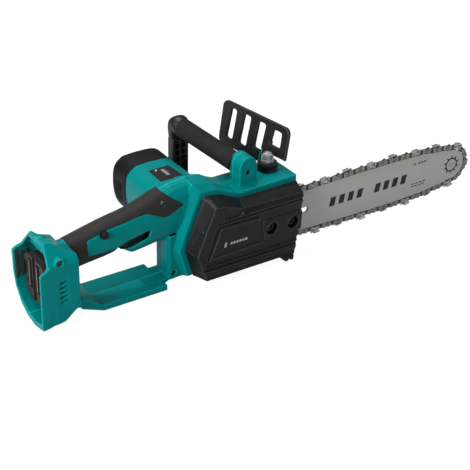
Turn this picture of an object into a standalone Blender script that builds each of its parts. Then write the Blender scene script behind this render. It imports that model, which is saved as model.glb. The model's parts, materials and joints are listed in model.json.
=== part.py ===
"""Cordless rear-handle chainsaw with a 300 mm (12 inch) bar, as an assembly.

Frame: the origin is the centre of the drive sprocket, in the middle plane of
the bar.  +X runs forward along the bar, +Y to the operator's left (the motor
side) and +Z up.  Lengths below are millimetres; MM turns them into metres.
"""
import math

import bmesh
import bpy
from mathutils import Matrix, Vector

for old in list(bpy.data.objects):
    bpy.data.objects.remove(old, do_unlink=True)

MM = 0.001

# ---------------------------------------------------------------- dimensions
GAP = 0.3                # clearance between neighbouring pieces
SPLIT_Y = 30.0           # parting plane of the two housing halves

# bar and chain: 3/8 inch low profile, 46 drive links
RIVET_PITCH = 9.525
DRIVE_LINKS = 46
SPROCKET_TEETH = 6
NOSE_TEETH = 10
BAR_NOSE_X = 367.4       # nose centre from the drive sprocket
BAR_NOSE_R = 22.0
BAR_HALF = 30.6          # half height of the bar's belly
BAR_T = 3.7
GROOVE_W = 1.3
STUD_X = (53.0, 85.5)    # the two bar studs

# gear train, module 2: 12 teeth drive 37 teeth, 49 mm between the axes
MODULE = 2.0
PINION_TEETH = 12
GEAR_TEETH = 37
MOTOR_X, MOTOR_Z = -43.8, 22.0

# front handle and hand guard
TUBE_R = 12.6
TUBE_A = (32.0, 42.0, 75.0)
TUBE_B = (12.0, 143.0, 89.5)
GUARD_PIVOT = (92.0, 56.0, 62.0)

FILLER = (80.0, 34.0)    # oil filler axis
FILLER_R = 13.4

TRIGGER_PIVOT = (-102.0, 30.0, 31.0)

# ------------------------------------------------------------------ helpers


def material(name, rgb, rough, metal=0.0, alpha=1.0):
    m = bpy.data.materials.new(name)
    m.use_nodes = True
    b = m.node_tree.nodes["Principled BSDF"]
    b.inputs["Base Color"].default_value = (*rgb, 1.0)
    b.inputs["Roughness"].default_value = rough
    b.inputs["Metallic"].default_value = metal
    b.inputs["Alpha"].default_value = alpha
    m.diffuse_color = (*rgb, alpha)
    return m


TEAL = material("teal_abs", (0.0, 0.25, 0.25), 0.42)
BLACK = material("black_nylon", (0.018, 0.019, 0.02), 0.48)
RUBBER = material("black_rubber", (0.012, 0.012, 0.012), 0.75)
STEEL = material("steel", (0.5, 0.5, 0.5), 0.35, 1.0)
BARSTEEL = material("bar_steel", (0.42, 0.44, 0.43), 0.42, 0.8)
CHAINSTEEL = material("chain_steel", (0.2, 0.2, 0.19), 0.35, 1.0)
DARKSTEEL = material("dark_steel", (0.05, 0.05, 0.05), 0.4, 1.0)
COPPER = material("copper", (0.6, 0.3, 0.15), 0.35, 1.0)
BOARD = material("board_green", (0.02, 0.12, 0.05), 0.5)
CLEAR = material("clear_plastic", (0.8, 0.83, 0.85), 0.08, 0.0, 0.4)
TANK = material("tank_plastic", (0.55, 0.55, 0.5), 0.4, 0.0, 0.8)


def put(name, bm, mat, smooth=None):
    """Closes a bmesh into an object; shapes stay in millimetres until the end."""
    bmesh.ops.remove_doubles(bm, verts=bm.verts, dist=1e-4)
    bmesh.ops.recalc_face_normals(bm, faces=bm.faces)
    me = bpy.data.meshes.new(name)
    bm.to_mesh(me)
    bm.free()
    me.materials.append(mat)
    if smooth:
        me.shade_smooth()
        me.set_sharp_from_angle(angle=math.radians(smooth))
    o = bpy.data.objects.new(name, me)
    bpy.context.scene.collection.objects.link(o)
    return o


def axes(axis):
    return {"x": (Vector((0, 1, 0)), Vector((0, 0, 1)), Vector((1, 0, 0))),
            "y": (Vector((1, 0, 0)), Vector((0, 0, 1)), Vector((0, 1, 0))),
            "z": (Vector((1, 0, 0)), Vector((0, 1, 0)), Vector((0, 0, 1)))}[axis]


def loft(name, sections, axis, mat=TEAL, smooth=None):
    """Closed solid through polygons of equal count; each is (height, points)."""
    u, v, w = axes(axis)
    bm = bmesh.new()
    rings = []
    for h, pts in sections:
        rings.append([bm.verts.new(u * a + v * b + w * h) for a, b in pts])
    n = len(rings[0])
    for r0, r1 in zip(rings, rings[1:]):
        for i in range(n):
            j = (i + 1) % n
            bm.faces.new((r0[i], r0[j], r1[j], r1[i]))
    bm.faces.new(rings[0])
    bm.faces.new(rings[-1])
    return put(name, bm, mat, smooth)


def prism(name, pts, axis, lo, hi, mat=TEAL, smooth=None):
    return loft(name, [(lo, pts), (hi, pts)], axis, mat, smooth)


def box(name, lo, hi, mat=TEAL):
    return prism(name, [(lo[0], lo[1]), (hi[0], lo[1]), (hi[0], hi[1]), (lo[0], hi[1])], "z", lo[2], hi[2], mat)


def circle(cx, cy, r, n=24, start=0.0):
    return [(cx + r * math.cos(start + 2 * math.pi * i / n), cy + r * math.sin(start + 2 * math.pi * i / n)) for i in range(n)]


def cyl(name, c, axis, r, lo, hi, mat=STEEL, n=24):
    return prism(name, circle(c[0], c[1], r, n), axis, lo, hi, mat, 40)


def ring(name, c, axis, r_out, r_in, lo, hi, mat=STEEL, n=24):
    """A plain sleeve: outer and inner wall joined by two flat rings."""
    u, v, w = axes(axis)
    bm = bmesh.new()
    loops = []
    for r, h in ((r_out, lo), (r_out, hi), (r_in, hi), (r_in, lo)):
        loops.append([bm.verts.new(u * a + v * b + w * h) for a, b in circle(c[0], c[1], r, n)])
    for k in range(4):
        r0, r1 = loops[k], loops[(k + 1) % 4]
        for i in range(n):
            j = (i + 1) % n
            bm.faces.new((r0[i], r0[j], r1[j], r1[i]))
    return put(name, bm, mat, 40)


def turned(name, c, axis, prof, mat=STEEL, n=24):
    """Solid of revolution from (radius, height) points, first and last on the axis."""
    u, v, w = axes(axis)
    bm = bmesh.new()
    rings = []
    for r, h in prof:
        if r < 1e-6:
            rings.append([bm.verts.new(u * c[0] + v * c[1] + w * h)])
        else:
            rings.append([bm.verts.new(u * a + v * b + w * h) for a, b in circle(c[0], c[1], r, n)])
    for r0, r1 in zip(rings, rings[1:]):
        for i in range(n):
            j = (i + 1) % n
            if len(r0) == 1:
                bm.faces.new((r0[0], r1[j], r1[i]))
            elif len(r1) == 1:
                bm.faces.new((r0[i], r0[j], r1[0]))
            else:
                bm.faces.new((r0[i], r0[j], r1[j], r1[i]))
    return put(name, bm, mat, 40)


def sweep(name, path, r, mat, n=16, rx=None):
    """Round (or oval) bar along a path of points, with flat ends."""
    pts = [Vector(p) for p in path]
    bm = bmesh.new()
    rings = []
    side = None
    for i, p in enumerate(pts):
        t = (pts[min(i + 1, len(pts) - 1)] - pts[max(i - 1, 0)]).normalized()
        if side is None:
            side = t.cross(Vector((0, 0, 1)))
            if side.length < 0.2:
                side = t.cross(Vector((1, 0, 0)))
        side = (side - t * side.dot(t)).normalized()
        up = side.cross(t)
        rings.append([bm.verts.new(p + side * (rx or r) * math.cos(2 * math.pi * k / n) + up * r * math.sin(2 * math.pi * k / n)) for k in range(n)])
    for r0, r1 in zip(rings, rings[1:]):
        for i in range(n):
            j = (i + 1) % n
            bm.faces.new((r0[i], r0[j], r1[j], r1[i]))
    bm.faces.new(rings[0])
    bm.faces.new(rings[-1])
    return put(name, bm, mat, 40)


def weld(me):
    """Welds points closer than 2 micrometres; returns the number of edges without two faces."""
    bm = bmesh.new()
    bm.from_mesh(me)
    bmesh.ops.triangulate(bm, faces=bm.faces)
    bmesh.ops.remove_doubles(bm, verts=bm.verts, dist=2e-3)
    bmesh.ops.dissolve_degenerate(bm, dist=1e-3, edges=bm.edges)
    found = sum(len(e.link_faces) != 2 for e in bm.edges)
    bm.to_mesh(me)
    bm.free()
    return found


def combine(a, b, op, keep=False):
    """Boolean of b into a, applied at once; b is removed unless kept.

    EXACT is used first; where it leaves an open edge, MANIFOLD makes the cut.
    """
    best = None
    for solver in ("EXACT", "MANIFOLD"):
        m = a.modifiers.new("op", "BOOLEAN")
        m.operation = op
        m.solver = solver
        m.object = b
        bpy.context.view_layer.update()
        graph = bpy.context.evaluated_depsgraph_get()
        me = bpy.data.meshes.new_from_object(a.evaluated_get(graph))
        a.modifiers.clear()
        if weld(me) == 0 and len(me.polygons):
            best = me
            break
    if best is None:
        print("OPEN", a.name, b.name, op)
        best = me
    old = a.data
    a.data = best
    bpy.data.meshes.remove(old)
    best.name = a.name
    if not keep:
        bpy.data.objects.remove(b, do_unlink=True)
    return a


def add(a, *others):
    for b in others:
        combine(a, b, "UNION")
    return a


def cut(a, *others):
    for b in others:
        combine(a, b, "DIFFERENCE")
    return a


def twin(o, name):
    c = o.copy()
    c.data = o.data.copy()
    c.name = name
    bpy.context.scene.collection.objects.link(c)
    return c


def rounded(x0, y0, x1, y1, r, n=3):
    """Rectangle with rounded corners, counter-clockwise."""
    out = []
    for cx, cy, a0 in ((x1 - r, y1 - r, 0), (x0 + r, y1 - r, 90), (x0 + r, y0 + r, 180), (x1 - r, y0 + r, 270)):
        for k in range(n + 1):
            a = math.radians(a0 + 90 * k / n)
            out.append((cx + r * math.cos(a), cy + r * math.sin(a)))
    return out


def inset_poly(pts, d):
    """Inset of a counter-clockwise or clockwise polygon by d along its edge normals."""
    n = len(pts)
    area = sum(pts[i][0] * pts[(i + 1) % n][1] - pts[(i + 1) % n][0] * pts[i][1] for i in range(n))
    s = 1 if area > 0 else -1
    out = []
    for i in range(n):
        p0, p1, p2 = Vector(pts[i - 1]), Vector(pts[i]), Vector(pts[(i + 1) % n])
        e1, e2 = (p1 - p0).normalized(), (p2 - p1).normalized()
        n1, n2 = Vector((-e1.y, e1.x)) * s, Vector((-e2.y, e2.x)) * s
        k = (n1 + n2)
        k = k * (d / max(0.3, k.dot(n1)))
        out.append((p1.x + k.x, p1.y + k.y))
    return out


# ---------------------------------------------------------- bar and its loop


def bar_half_height(x):
    """Half height of the bar along its length, a gentle belly."""
    keys = ((26.0, 18.5), (40.0, 23.4), (60.0, 26.2), (114.0, 28.1), (190.0, 30.0), (262.0, 30.6), (310.0, 29.2), (345.0, 25.6), (367.4, 22.0))
    for (xa, ha), (xb, hb) in zip(keys, keys[1:]):
        if x <= xb:
            t = (x - xa) / (xb - xa)
            return ha + (hb - ha) * t * t * (3 - 2 * t) if xb > 300 else ha + (hb - ha) * t
    return keys[-1][1]


def bar_outline(inset=0.0, tail=27.0, step=24):
    """Closed outline in XZ; inset moves it inwards."""
    top = []
    for k in range(step + 1):
        x = tail + 6 + (BAR_NOSE_X - tail - 6) * k / step
        top.append((x, bar_half_height(x) - inset))
    nose = []
    r = BAR_NOSE_R - inset
    for k in range(1, 14):
        a = math.pi / 2 - math.pi * k / 14
        nose.append((BAR_NOSE_X + r * math.cos(a), r * math.sin(a)))
    bottom = [(x, -z) for x, z in reversed(top)]
    t = tail + inset
    tail_pts = [(t, -bar_half_height(tail) + 4), (t, bar_half_height(tail) - 4)]
    return top + nose + bottom + tail_pts


guide_bar = prism("guide_bar", bar_outline(), "y", 0.65, BAR_T / 2, BARSTEEL)
add(guide_bar,
    prism("t1", bar_outline(), "y", -BAR_T / 2, -0.65, BARSTEEL),
    prism("t2", bar_outline(6.5, 27.0 - 6.0), "y", -0.72, 0.72, BARSTEEL))
slot_pts = []
for cx, a0 in ((118.0, -90), (38.0, 90)):
    slot_pts += [(cx + 4.25 * math.cos(math.radians(a0 + 180 * k / 8)), 4.25 * math.sin(math.radians(a0 + 180 * k / 8))) for k in range(9)]
cut(guide_bar,
    prism("t3", slot_pts, "y", -5, 5),
    cyl("t4", (40.0, -16.0), "y", 3.4, -5, 5),
    cyl("t5", (40.0, 16.0), "y", 3.4, -5, 5),
    cyl("t6", (BAR_NOSE_X, 0.0), "y", BAR_NOSE_R - 0.6, -0.65, 0.65, n=32),
    cyl("t7", (BAR_NOSE_X, 0.0), "y", 3.2, -5, 5))


def star(name, c, teeth, r_root, r_tip, lo, hi, mat, bore=0.0, tip_share=0.28, root_share=0.5):
    """Sprocket with tapered teeth around the Y axis, tooth 0 pointing along +X."""
    pts = []
    for t in range(teeth):
        a = 2 * math.pi * t / teeth
        w = 2 * math.pi / teeth
        for da, r in ((-root_share / 2, r_root), (-tip_share / 2, r_tip), (tip_share / 2, r_tip), (root_share / 2, r_root)):
            pts.append((c[0] + r * math.cos(a + da * w), c[1] + r * math.sin(a + da * w)))
    o = prism(name, pts, "y", lo, hi, mat)
    if bore:
        cut(o, cyl("tb", c, "y", bore, lo - 2, hi + 2, n=24))
    return o


nose_sprocket = star("nose_sprocket", (BAR_NOSE_X, 0.0), NOSE_TEETH, 15.5, 20.6, -0.35, 0.35, STEEL, bore=6.4)
nose_hub = cyl("nose_hub", (BAR_NOSE_X, 0.0), "y", 6.0, -0.6, 0.6, STEEL)
add(nose_hub, cyl("t8", (BAR_NOSE_X, 0.0), "y", 2.8, -BAR_T / 2 - 0.3, BAR_T / 2 + 0.3))


def build_loop(count):
    """Points and outward normals on the rivet line, evenly spaced round the loop.

    The line wraps round the drive sprocket, follows the top rail to the nose
    and comes back along the bottom rail.
    """
    drive_r = RIVET_PITCH / math.sin(math.pi / SPROCKET_TEETH)
    raw = []
    rail = 4.2
    for k in range(121):
        a = math.radians(262) - math.radians(164) * k / 120
        raw.append((drive_r * math.cos(a), drive_r * math.sin(a)))
    for k in range(81):
        x = 40 + (BAR_NOSE_X - 40) * k / 80
        raw.append((x, bar_half_height(x) + rail))
    for k in range(1, 60):
        a = math.pi / 2 - math.pi * k / 60
        raw.append((BAR_NOSE_X + (BAR_NOSE_R + rail) * math.cos(a), (BAR_NOSE_R + rail) * math.sin(a)))
    for k in range(81):
        x = BAR_NOSE_X - (BAR_NOSE_X - 40) * k / 80
        raw.append((x, -bar_half_height(x) - rail))
    lengths = [0.0]
    n = len(raw)
    for i in range(n):
        a, b = raw[i], raw[(i + 1) % n]
        lengths.append(lengths[-1] + math.hypot(b[0] - a[0], b[1] - a[1]))
    total = lengths[-1]
    out = []
    i = 0
    for k in range(count):
        want = total * k / count
        while lengths[i + 1] < want:
            i += 1
        a, b = raw[i % n], raw[(i + 1) % n]
        t = (want - lengths[i]) / (lengths[i + 1] - lengths[i])
        d = Vector((b[0] - a[0], b[1] - a[1])).normalized()
        out.append(((a[0] + (b[0] - a[0]) * t, a[1] + (b[1] - a[1]) * t), (-d.y, d.x)))
    return out, total


LOOP, LOOP_LENGTH = build_loop(2 * DRIVE_LINKS)

# One closed band stands for the 46 drive links, 46 pairs of side links and
# the cutters: link band outside the rails, thin tang flange in the groove.
outer, inner, tang = [], [], []
for i, ((x, z), (nx, nz)) in enumerate(LOOP):
    bump = (3.8, 5.6, 4.2, 3.8)[i % 4]
    outer.append((x + nx * bump, z + nz * bump))
    near_drive = math.hypot(x, z) < 34
    near_nose = x > BAR_NOSE_X - 30
    gap = 1.0 if near_drive else (3.2 if near_nose else 3.8)
    inner.append((x - nx * gap, z - nz * gap))
    depth = 1.0 if near_drive else (4.9 if near_nose else (8.6 if x > 60 else 7.2))
    tang.append((x - nx * depth, z - nz * depth))


def stepped_band(name, out_pts, mid_pts, in_pts, half, thin, mat):
    """Link band of half width, with a thinner flange inside it, as one closed ring."""
    bm = bmesh.new()
    n = len(out_pts)
    loops = []
    for pts, h in ((out_pts, -half), (out_pts, half), (mid_pts, half), (mid_pts, thin), (in_pts, thin), (in_pts, -thin), (mid_pts, -thin), (mid_pts, -half)):
        loops.append([bm.verts.new((a, h, b)) for a, b in pts])
    m = len(loops)
    for k in range(m):
        r0, r1 = loops[k], loops[(k + 1) % m]
        for i in range(n):
            j = (i + 1) % n
            bm.faces.new((r0[i], r0[j], r1[j], r1[i]))
    return put(name, bm, mat)


flange_pts = []
for (a, b), (x, z), (p, q) in zip(inner, [l[0] for l in LOOP], tang):
    if math.hypot(a - p, b - q) < 0.3:
        p, q = a + (p - a), b + (q - b)
        d = Vector((a - x, b - z)).normalized()
        p, q = a + d.x * 0.35, b + d.y * 0.35
    flange_pts.append((p, q))
chain_loop = stepped_band("chain_loop", outer, inner, flange_pts, 3.1, 0.42, CHAINSTEEL)

# ------------------------------------------------------------- drive sprocket
drive_sprocket = star("drive_sprocket", (0.0, 0.0), SPROCKET_TEETH, 12.6, 16.9, -3.6, 3.6, DARKSTEEL, bore=5.05, tip_share=0.34, root_share=0.62)
drive_shaft = cyl("drive_shaft", (0, 0), "y", 5.0, -7.0, 37.2, STEEL)
cut(drive_shaft, ring("tg", (0, 0), "y", 7.0, 4.2, -5.6, -4.6))
circlip = ring("circlip", (0, 0), "y", 7.6, 4.25, -5.5, -4.7, DARKSTEEL, 20)
cut(circlip, box("tc", (4.0, -8, -1.6), (12.0, -2, 1.6)))


def gear(name, c, teeth, lo, hi, mat, bore, phase):
    """Spur gear about the Y axis; phase is the angle of tooth 0 from +X."""
    rp = MODULE * teeth / 2
    tip, root = rp + 0.82 * MODULE, rp - 1.22 * MODULE
    w = 2 * math.pi / teeth
    pts = []
    for t in range(teeth):
        a = phase + t * w
        half = 0.225
        shape = ((-0.36, root), (-half, rp), (-0.105, tip), (0.105, tip), (half, rp), (0.36, root))
        for da, r in shape:
            pts.append((c[0] + r * math.cos(a + da * w), c[1] + r * math.sin(a + da * w)))
    o = prism(name, pts, "y", lo, hi, mat)
    if bore:
        cut(o, cyl("tb", c, "y", bore, lo - 2, hi + 2))
    return o


mesh_angle = math.atan2(MOTOR_Z, MOTOR_X)
drive_gear = gear("drive_gear", (0, 0), GEAR_TEETH, 15.4, 23.4, STEEL, 5.05, mesh_angle)
for k in range(5):
    a = mesh_angle + 2 * math.pi * (k + 0.5) / 5
    cut(drive_gear, cyl("th", (21 * math.cos(a), 21 * math.sin(a)), "y", 6.0, 14, 25, n=16))
motor_pinion = gear("motor_pinion", (MOTOR_X, MOTOR_Z), PINION_TEETH, 14.6, 24.4, DARKSTEEL, 4.05, mesh_angle + math.pi + math.pi / PINION_TEETH)
bearing_output_front = ring("bearing_output_front", (0, 0), "y", 11.0, 5.06, 7.6, 14.4, STEEL)
bearing_output_rear = ring("bearing_output_rear", (0, 0), "y", 11.0, 5.06, 30.8, 37.2, STEEL)

# --------------------------------------------------------------------- motor
M = (MOTOR_X, MOTOR_Z)
rotor_shaft = cyl("rotor_shaft", M, "y", 4.0, 13.8, 145.0, STEEL)
bearing_motor_front = ring("bearing_motor_front", M, "y", 11.0, 4.06, 31.0, 37.4, STEEL)
bearing_motor_rear = ring("bearing_motor_rear", M, "y", 11.0, 4.06, 137.5, 144.5, STEEL)
rotor_core = cyl("rotor_core", M, "y", 17.0, 60.0, 104.0, DARKSTEEL, 20)
cut(rotor_core, cyl("tb", M, "y", 4.05, 55, 110))
stator = ring("motor_stator", M, "y", 31.5, 17.8, 62.0, 102.0, STEEL, 28)
winding_front = ring("stator_winding_front", M, "y", 28.5, 19.0, 53.5, 61.7, COPPER, 24)
winding_rear = ring("stator_winding_rear", M, "y", 28.5, 19.0, 102.3, 109.0, COPPER, 24)
fan = cyl("cooling_fan", M, "y", 8.0, 113.0, 123.0, BLACK, 20)
add(fan, cyl("tf", M, "y", 29.0, 113.0, 115.0, n=28))
for k in range(9):
    a = 2 * math.pi * k / 9
    c, s = math.cos(a), math.sin(a)
    c2, s2 = math.cos(a + 0.25), math.sin(a + 0.25)
    pts = [(MOTOR_X + 7 * c + 0.9 * s, MOTOR_Z + 7 * s - 0.9 * c), (MOTOR_X + 28 * c2 + 0.9 * s2, MOTOR_Z + 28 * s2 - 0.9 * c2),
           (MOTOR_X + 28 * c2 - 0.9 * s2, MOTOR_Z + 28 * s2 + 0.9 * c2), (MOTOR_X + 7 * c - 0.9 * s, MOTOR_Z + 7 * s + 0.9 * c)]
    add(fan, prism("tv", pts, "y", 114.0, 122.0, BLACK))
cut(fan, cyl("tb", M, "y", 4.05, 110, 126))

BARREL = [(-70, 60), (-61, 62.3), (-44, 63), (-27, 62.3), (-17, 59), (-9, 49), (-5, 36), (-4.5, 20), (-8, 3), (-17, -9), (-30, -15), (-46, -17), (-61, -14), (-72, -6), (-79, 7), (-82, 27), (-80, 49)]


def grown(pts, c, d):
    out = []
    for x, z in pts:
        v = Vector((x - c[0], z - c[1]))
        v = v * (1 + d / v.length)
        out.append((c[0] + v.x, c[1] + v.y))
    return out


motor_housing = prism("motor_housing", BARREL, "y", 58.3, 115.0, TEAL)
cut(motor_housing, cyl("tm", M, "y", 32.0, 50, 120, n=32))
motor_end_cap = loft("motor_end_cap", [(115.3, BARREL), (144.0, grown(BARREL, (-43, 23), 0.8)), (150.5, grown(BARREL, (-43, 23), -1.6)), (152.5, grown(BARREL, (-43, 23), -6))], "y", BLACK)
cut(motor_end_cap, prism("tm", grown(BARREL, (-43, 23), -3), "y", 110, 145.5))
add(motor_end_cap, ring("tr", M, "y", 14.0, 11.05, 137.0, 146.5, BLACK))
for k in range(5):
    z0 = 2 + 9.0 * k
    cut(motor_end_cap, box("ts", (-64, 140, z0), (-24, 155, z0 + 4.0)))
# ring above is cut by the slots too, so its bore is kept clear here
cut(motor_end_cap, cyl("tb", M, "y", 11.05, 136.5, 145.0))

# ------------------------------------------------------------- the two halves
# flange that faces the chain cover, growing into the main block
FL2 = [(-59, -46), (-70, -8), (-41, 67), (-17, 66), (16, 51.5), (104, 54), (104, -48)]
FL12 = [(-60, -49), (-74, -7), (-47, 75), (-20, 72), (14, 53), (104, 54), (104, -48.5)]
FL30 = [(-60, -49), (-74, -7), (-49, 79), (-26, 77), (13, 54), (104, 54), (104, -48.5)]
FL48 = [(-60, -49), (-74, -7), (-49, 71), (-26, 69), (13, 53), (104, 53.6), (104, -48)]
FL58 = [(-58, -47), (-72, -6), (-50, 62), (-26, 60), (10, 50), (102, 51), (102, -46.5)]
outer_all = loft("outer_all", [(2.0, FL2), (12.0, FL12), (30.0, FL30), (48.0, FL48), (58.0, FL58)], "y")


def tube_section(hw, zb, zt, e=2.6, n=16, cy=30.0):
    """Super-ellipse in YZ between the two heights."""
    cz, hz = (zb + zt) / 2, (zt - zb) / 2
    out = []
    for k in range(n):
        a = 2 * math.pi * (k + 0.5) / n
        c, s = math.cos(a), math.sin(a)
        out.append((cy + hw * math.copysign(abs(c) ** (2 / e), c), cz + hz * math.copysign(abs(s) ** (2 / e), s)))
    return out


HANDLE = [(-226, 17.0, -1.0, 36.5), (-212, 17.2, 0.0, 38.8), (-190, 17.6, 3.0, 44.0), (-165, 18.0, 5.5, 49.8), (-148, 18.2, 8.5, 53.0),
          (-136, 18.4, 5.5, 55.0), (-126, 18.6, -1.5, 57.5), (-108, 19.0, 0.5, 63.0), (-92, 19.6, 3.0, 69.5), (-70, 20.5, 3.0, 75.5), (-48, 21.0, 3.0, 78.0), (-28, 20.5, 3.0, 75.5), (-6, 19.0, 3.0, 61.0)]
handle = loft("handle", [(x, tube_section(hw, zb, zt)) for x, hw, zb, zt in HANDLE], "x")
POST_XY = [(-54, 11), (-54, 47), (-75.0, 47), (-78.5, 44), (-81, 16), (-78, 11)]
loop_post = prism("loop_post", POST_XY, "z", -49.0, 12.0)
PLATE = [(-214, -30), (-206, -44), (-176, -56), (-88, -56), (-88, -47.5), (-178, -47.5), (-203, -30)]
plate = prism("plate", PLATE, "y", 0.5, 60.0)
FOOT = [(-8, -51), (-8, 30), (12, 53), (48, 53), (70, 26), (69, -6), (64, -25), (51, -42), (35, -51), (15, -55)]
foot = loft("foot", [(-262, FOOT), (-211.5, FOOT)], "x")
# the roof is set back from the rear face and slopes down to the handle
cut(foot,
    prism("tf1", [(-275, 20.5), (-262, 23.0), (-251, 29.5), (-246.5, 60), (-275, 60)], "y", -12, 75),
    loft("tf2", [(y, [(a, 58), (a, 53.3), (b, c), (-211, e), (-205, e), (-205, 58)]) for y, a, b, c, e in
                 ((-12, -238, -228, 44.5, 36.5), (20, -238, -228, 44.5, 36.5), (50, -245, -232, 40.0, 28.0), (75, -245, -232, 40.0, 28.0))], "y"),
    prism("tf3", [(-258, -62), (-258, -51.2), (-232, -47.0), (-217, -34.5), (-205, -34.5), (-205, -62)], "y", -12, 75))
motor_collar = prism("collar", grown(BARREL, (-43, 23), 0.6), "y", 38.0, 58.0)
heel = prism("heel", [(-92, -56), (-92, -46), (-60, -46), (-60, -48.5), (-80, -50)], "y", 11.5, 46.8)
add(outer_all, handle, loop_post, plate, heel, foot, motor_collar)

# hollow of the halves
CAV = [(-54, -45.5), (-69, -7), (-44, 68), (-24, 67), (12, 50.5), (100.8, 50.5), (100.8, -45.5)]
cavity_handle = loft("cavity_handle", [(x, tube_section(hw - 2.8, zb + 2.8, zt - 2.8)) for x, hw, zb, zt in HANDLE[1:12]], "x")
cavity_post = prism("cavity_post", inset_poly(POST_XY, 2.8), "z", -46.0, 14.0)
FOOT_IN = [(-4.6, -44), (-4.6, 26), (10, 46), (50, 46), (66, 24), (65.2, -8), (60, -24), (48, -37), (32, -45), (14, -48)]
cavity_foot = loft("cavity_foot", [(-265, FOOT_IN), (-232, FOOT_IN), (-226, grown(FOOT_IN, (30, 0), -5))], "x")
# trigger opening in the underside of the handle
TRIG_CUT = [(-104.5, 29.5), (-134.5, 23.6), (-148.5, 16.2), (-151.0, 2.0), (-133.0, 9.6), (-129.0, 12.0), (-107.0, 19.2)]
trigger_cut = prism("trigger_cut", TRIG_CUT, "y", 5, 55)


def half(name, lo_y, hi_y):
    h = twin(outer_all, name)
    combine(h, box("tclip", (-400, lo_y, -200), (400, hi_y, 200)), "INTERSECT")
    return h


housing_right = half("housing_right", -50, SPLIT_Y - 0.15)
housing_left = half("housing_left", SPLIT_Y + 0.15, 200)

cut(housing_right, prism("c1", CAV, "y", 7.6, 31.0))
cut(housing_left, prism("c2", CAV, "y", 38.2, 55.6))
for h, nm in ((housing_right, "r"), (housing_left, "l")):
    for c in (cavity_handle, cavity_foot, trigger_cut, cavity_post):
        combine(h, twin(c, c.name + nm), "DIFFERENCE")
for c in (cavity_handle, cavity_foot, trigger_cut, cavity_post, outer_all):
    bpy.data.objects.remove(c, do_unlink=True)

# chain recess in the flange face, open to the front
RECESS = [(-50, -43.5), (-61, -8), (-37, 57), (-16, 55), (14, 43.0), (110, 43.0), (110, -43.5)]
cut(housing_right, prism("c3", RECESS, "y", -3.0, 5.0))
# bearing seat and stud bosses on the gear-case wall
add(housing_right, ring("b1", (0, 0), "y", 14.0, 11.05, 5.1, 14.6, TEAL))
cut(housing_right, cyl("b2", (0, 0), "y", 11.05, 7.3, 16.0), cyl("b2b", (0, 0), "y", 6.2, 3.0, 9.0))
for sx in STUD_X:
    add(housing_right, cyl("b3", (sx, 0), "y", 8.0, 5.1, 22.0, TEAL, 20))
    cut(housing_right, cyl("b4", (sx, 0), "y", 4.3, 3.0, 23.0, n=20))
# openings for the tension pin and for the tension screw
cut(housing_right, box("b5", (34.2, 3, -20.2), (45.8, 9, -11.8)), cyl("b6", (11.0, -16.0), "x", 3.0, 95, 110, n=16))
# bearing seats and shaft passages in the left half's gear-case wall
cut(housing_left,
    cyl("b7", (0, 0), "y", 11.05, 28, 37.5), cyl("b8", M, "y", 11.05, 28, 37.7), cyl("b9", M, "y", 6.0, 28, 42),
    cyl("b10", M, "y", 32.0, 38.0, 60.0, n=32))
cut(housing_left, box("b19", (65.8, 31.3, 37.4), (94.2, 39.5, 44.8)))
# tube passage, filler neck and hand-guard bracket
cut(housing_left, cyl("b11", (56.0, -34.0), "y", 3.2, 28, 42, n=16))
for h in (housing_right, housing_left):
    cut(h, cyl("b12", FILLER, "z", 9.4, 44, 60, n=20))
add(housing_left,
    prism("b13", [(84, 50), (100, 50), (98, 60), (95, 66.5), (89, 66.5), (86, 60)], "y", 49.4, 51.6),
    prism("b14", [(84, 49), (100, 49), (98, 60), (95, 66.5), (89, 66.5), (86, 60)], "y", 60.4, 62.8))
add(housing_left, box("b15", (84, 50.0, 47.0), (100, 62.8, 53.9)))
cut(housing_left, cyl("b16", (GUARD_PIVOT[0], GUARD_PIVOT[2]), "y", 2.3, 45, 70, n=16))
SCREW_H = (37.3, 68.8)
# arched boss that takes the right end of the front handle
BOSS = [(24.5, 50), (50.5, 50), (50.5, 77)] + [(37.5 + 13 * math.cos(math.radians(a)), 77 + 13 * math.sin(math.radians(a))) for a in (30, 60, 90, 120, 150)] + [(24.5, 77)]
add(housing_right, prism("boss", BOSS, "y", 13.0, 29.85))
add(housing_left, prism("boss2", BOSS, "y", 30.15, 33.2))
cut(housing_right, cyl("b17", SCREW_H, "y", 3.2, 10, 20.2, n=16), cyl("b17b", SCREW_H, "y", 2.05, 18, 33, n=16))
cut(housing_left, cyl("b17c", SCREW_H, "y", 2.05, 28, 35, n=16))
# housing screws: counterbored in the right half, threaded into the left half
SCREWS = [(-236.0, 33.0, -8.0, 62.0, 5.6), (-86.0, 59.5, 11.4, 46.0, 4.6), (-73.0, -41.0, 11.0, 40.0, 3.8)]
for sx, sz, face, end, rb in SCREWS:
    add(housing_right, cyl("s1", (sx, sz), "y", rb, face + 2.4, SPLIT_Y - 0.15, TEAL, 16))
    add(housing_left, cyl("s2", (sx, sz), "y", rb, SPLIT_Y + 0.15, end + 1.0, TEAL, 16))
# soft overmould: the grip's top, rear end and underside, in its own recess
OM = [(-211.2, -5), (-211.2, 90), (-104, 90), (-90, 77), (-58, 52), (-84, 41), (-95, 46), (-108, 52), (-161, 44.5), (-190, 37.5), (-189, 17), (-151.5, 15), (-151.5, -5)]
OVERMOULD_T = 1.2
skin = loft("skin", [(x, tube_section(hw, zb, zt)) for x, hw, zb, zt in HANDLE], "x", RUBBER)
combine(skin, prism("omp", OM, "y", -20, 80), "INTERSECT")
core = loft("core", [(x, tube_section(hw - OVERMOULD_T, zb + OVERMOULD_T, zt - OVERMOULD_T)) for x, hw, zb, zt in HANDLE], "x")
combine(skin, core, "DIFFERENCE", keep=True)
pocket = loft("pocket", [(x, tube_section(hw + 3.0, zb - 3.0, zt + 3.0)) for x, hw, zb, zt in HANDLE], "x")
combine(pocket, prism("omq", inset_poly(OM, -0.2), "y", -20, 80), "INTERSECT")
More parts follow.
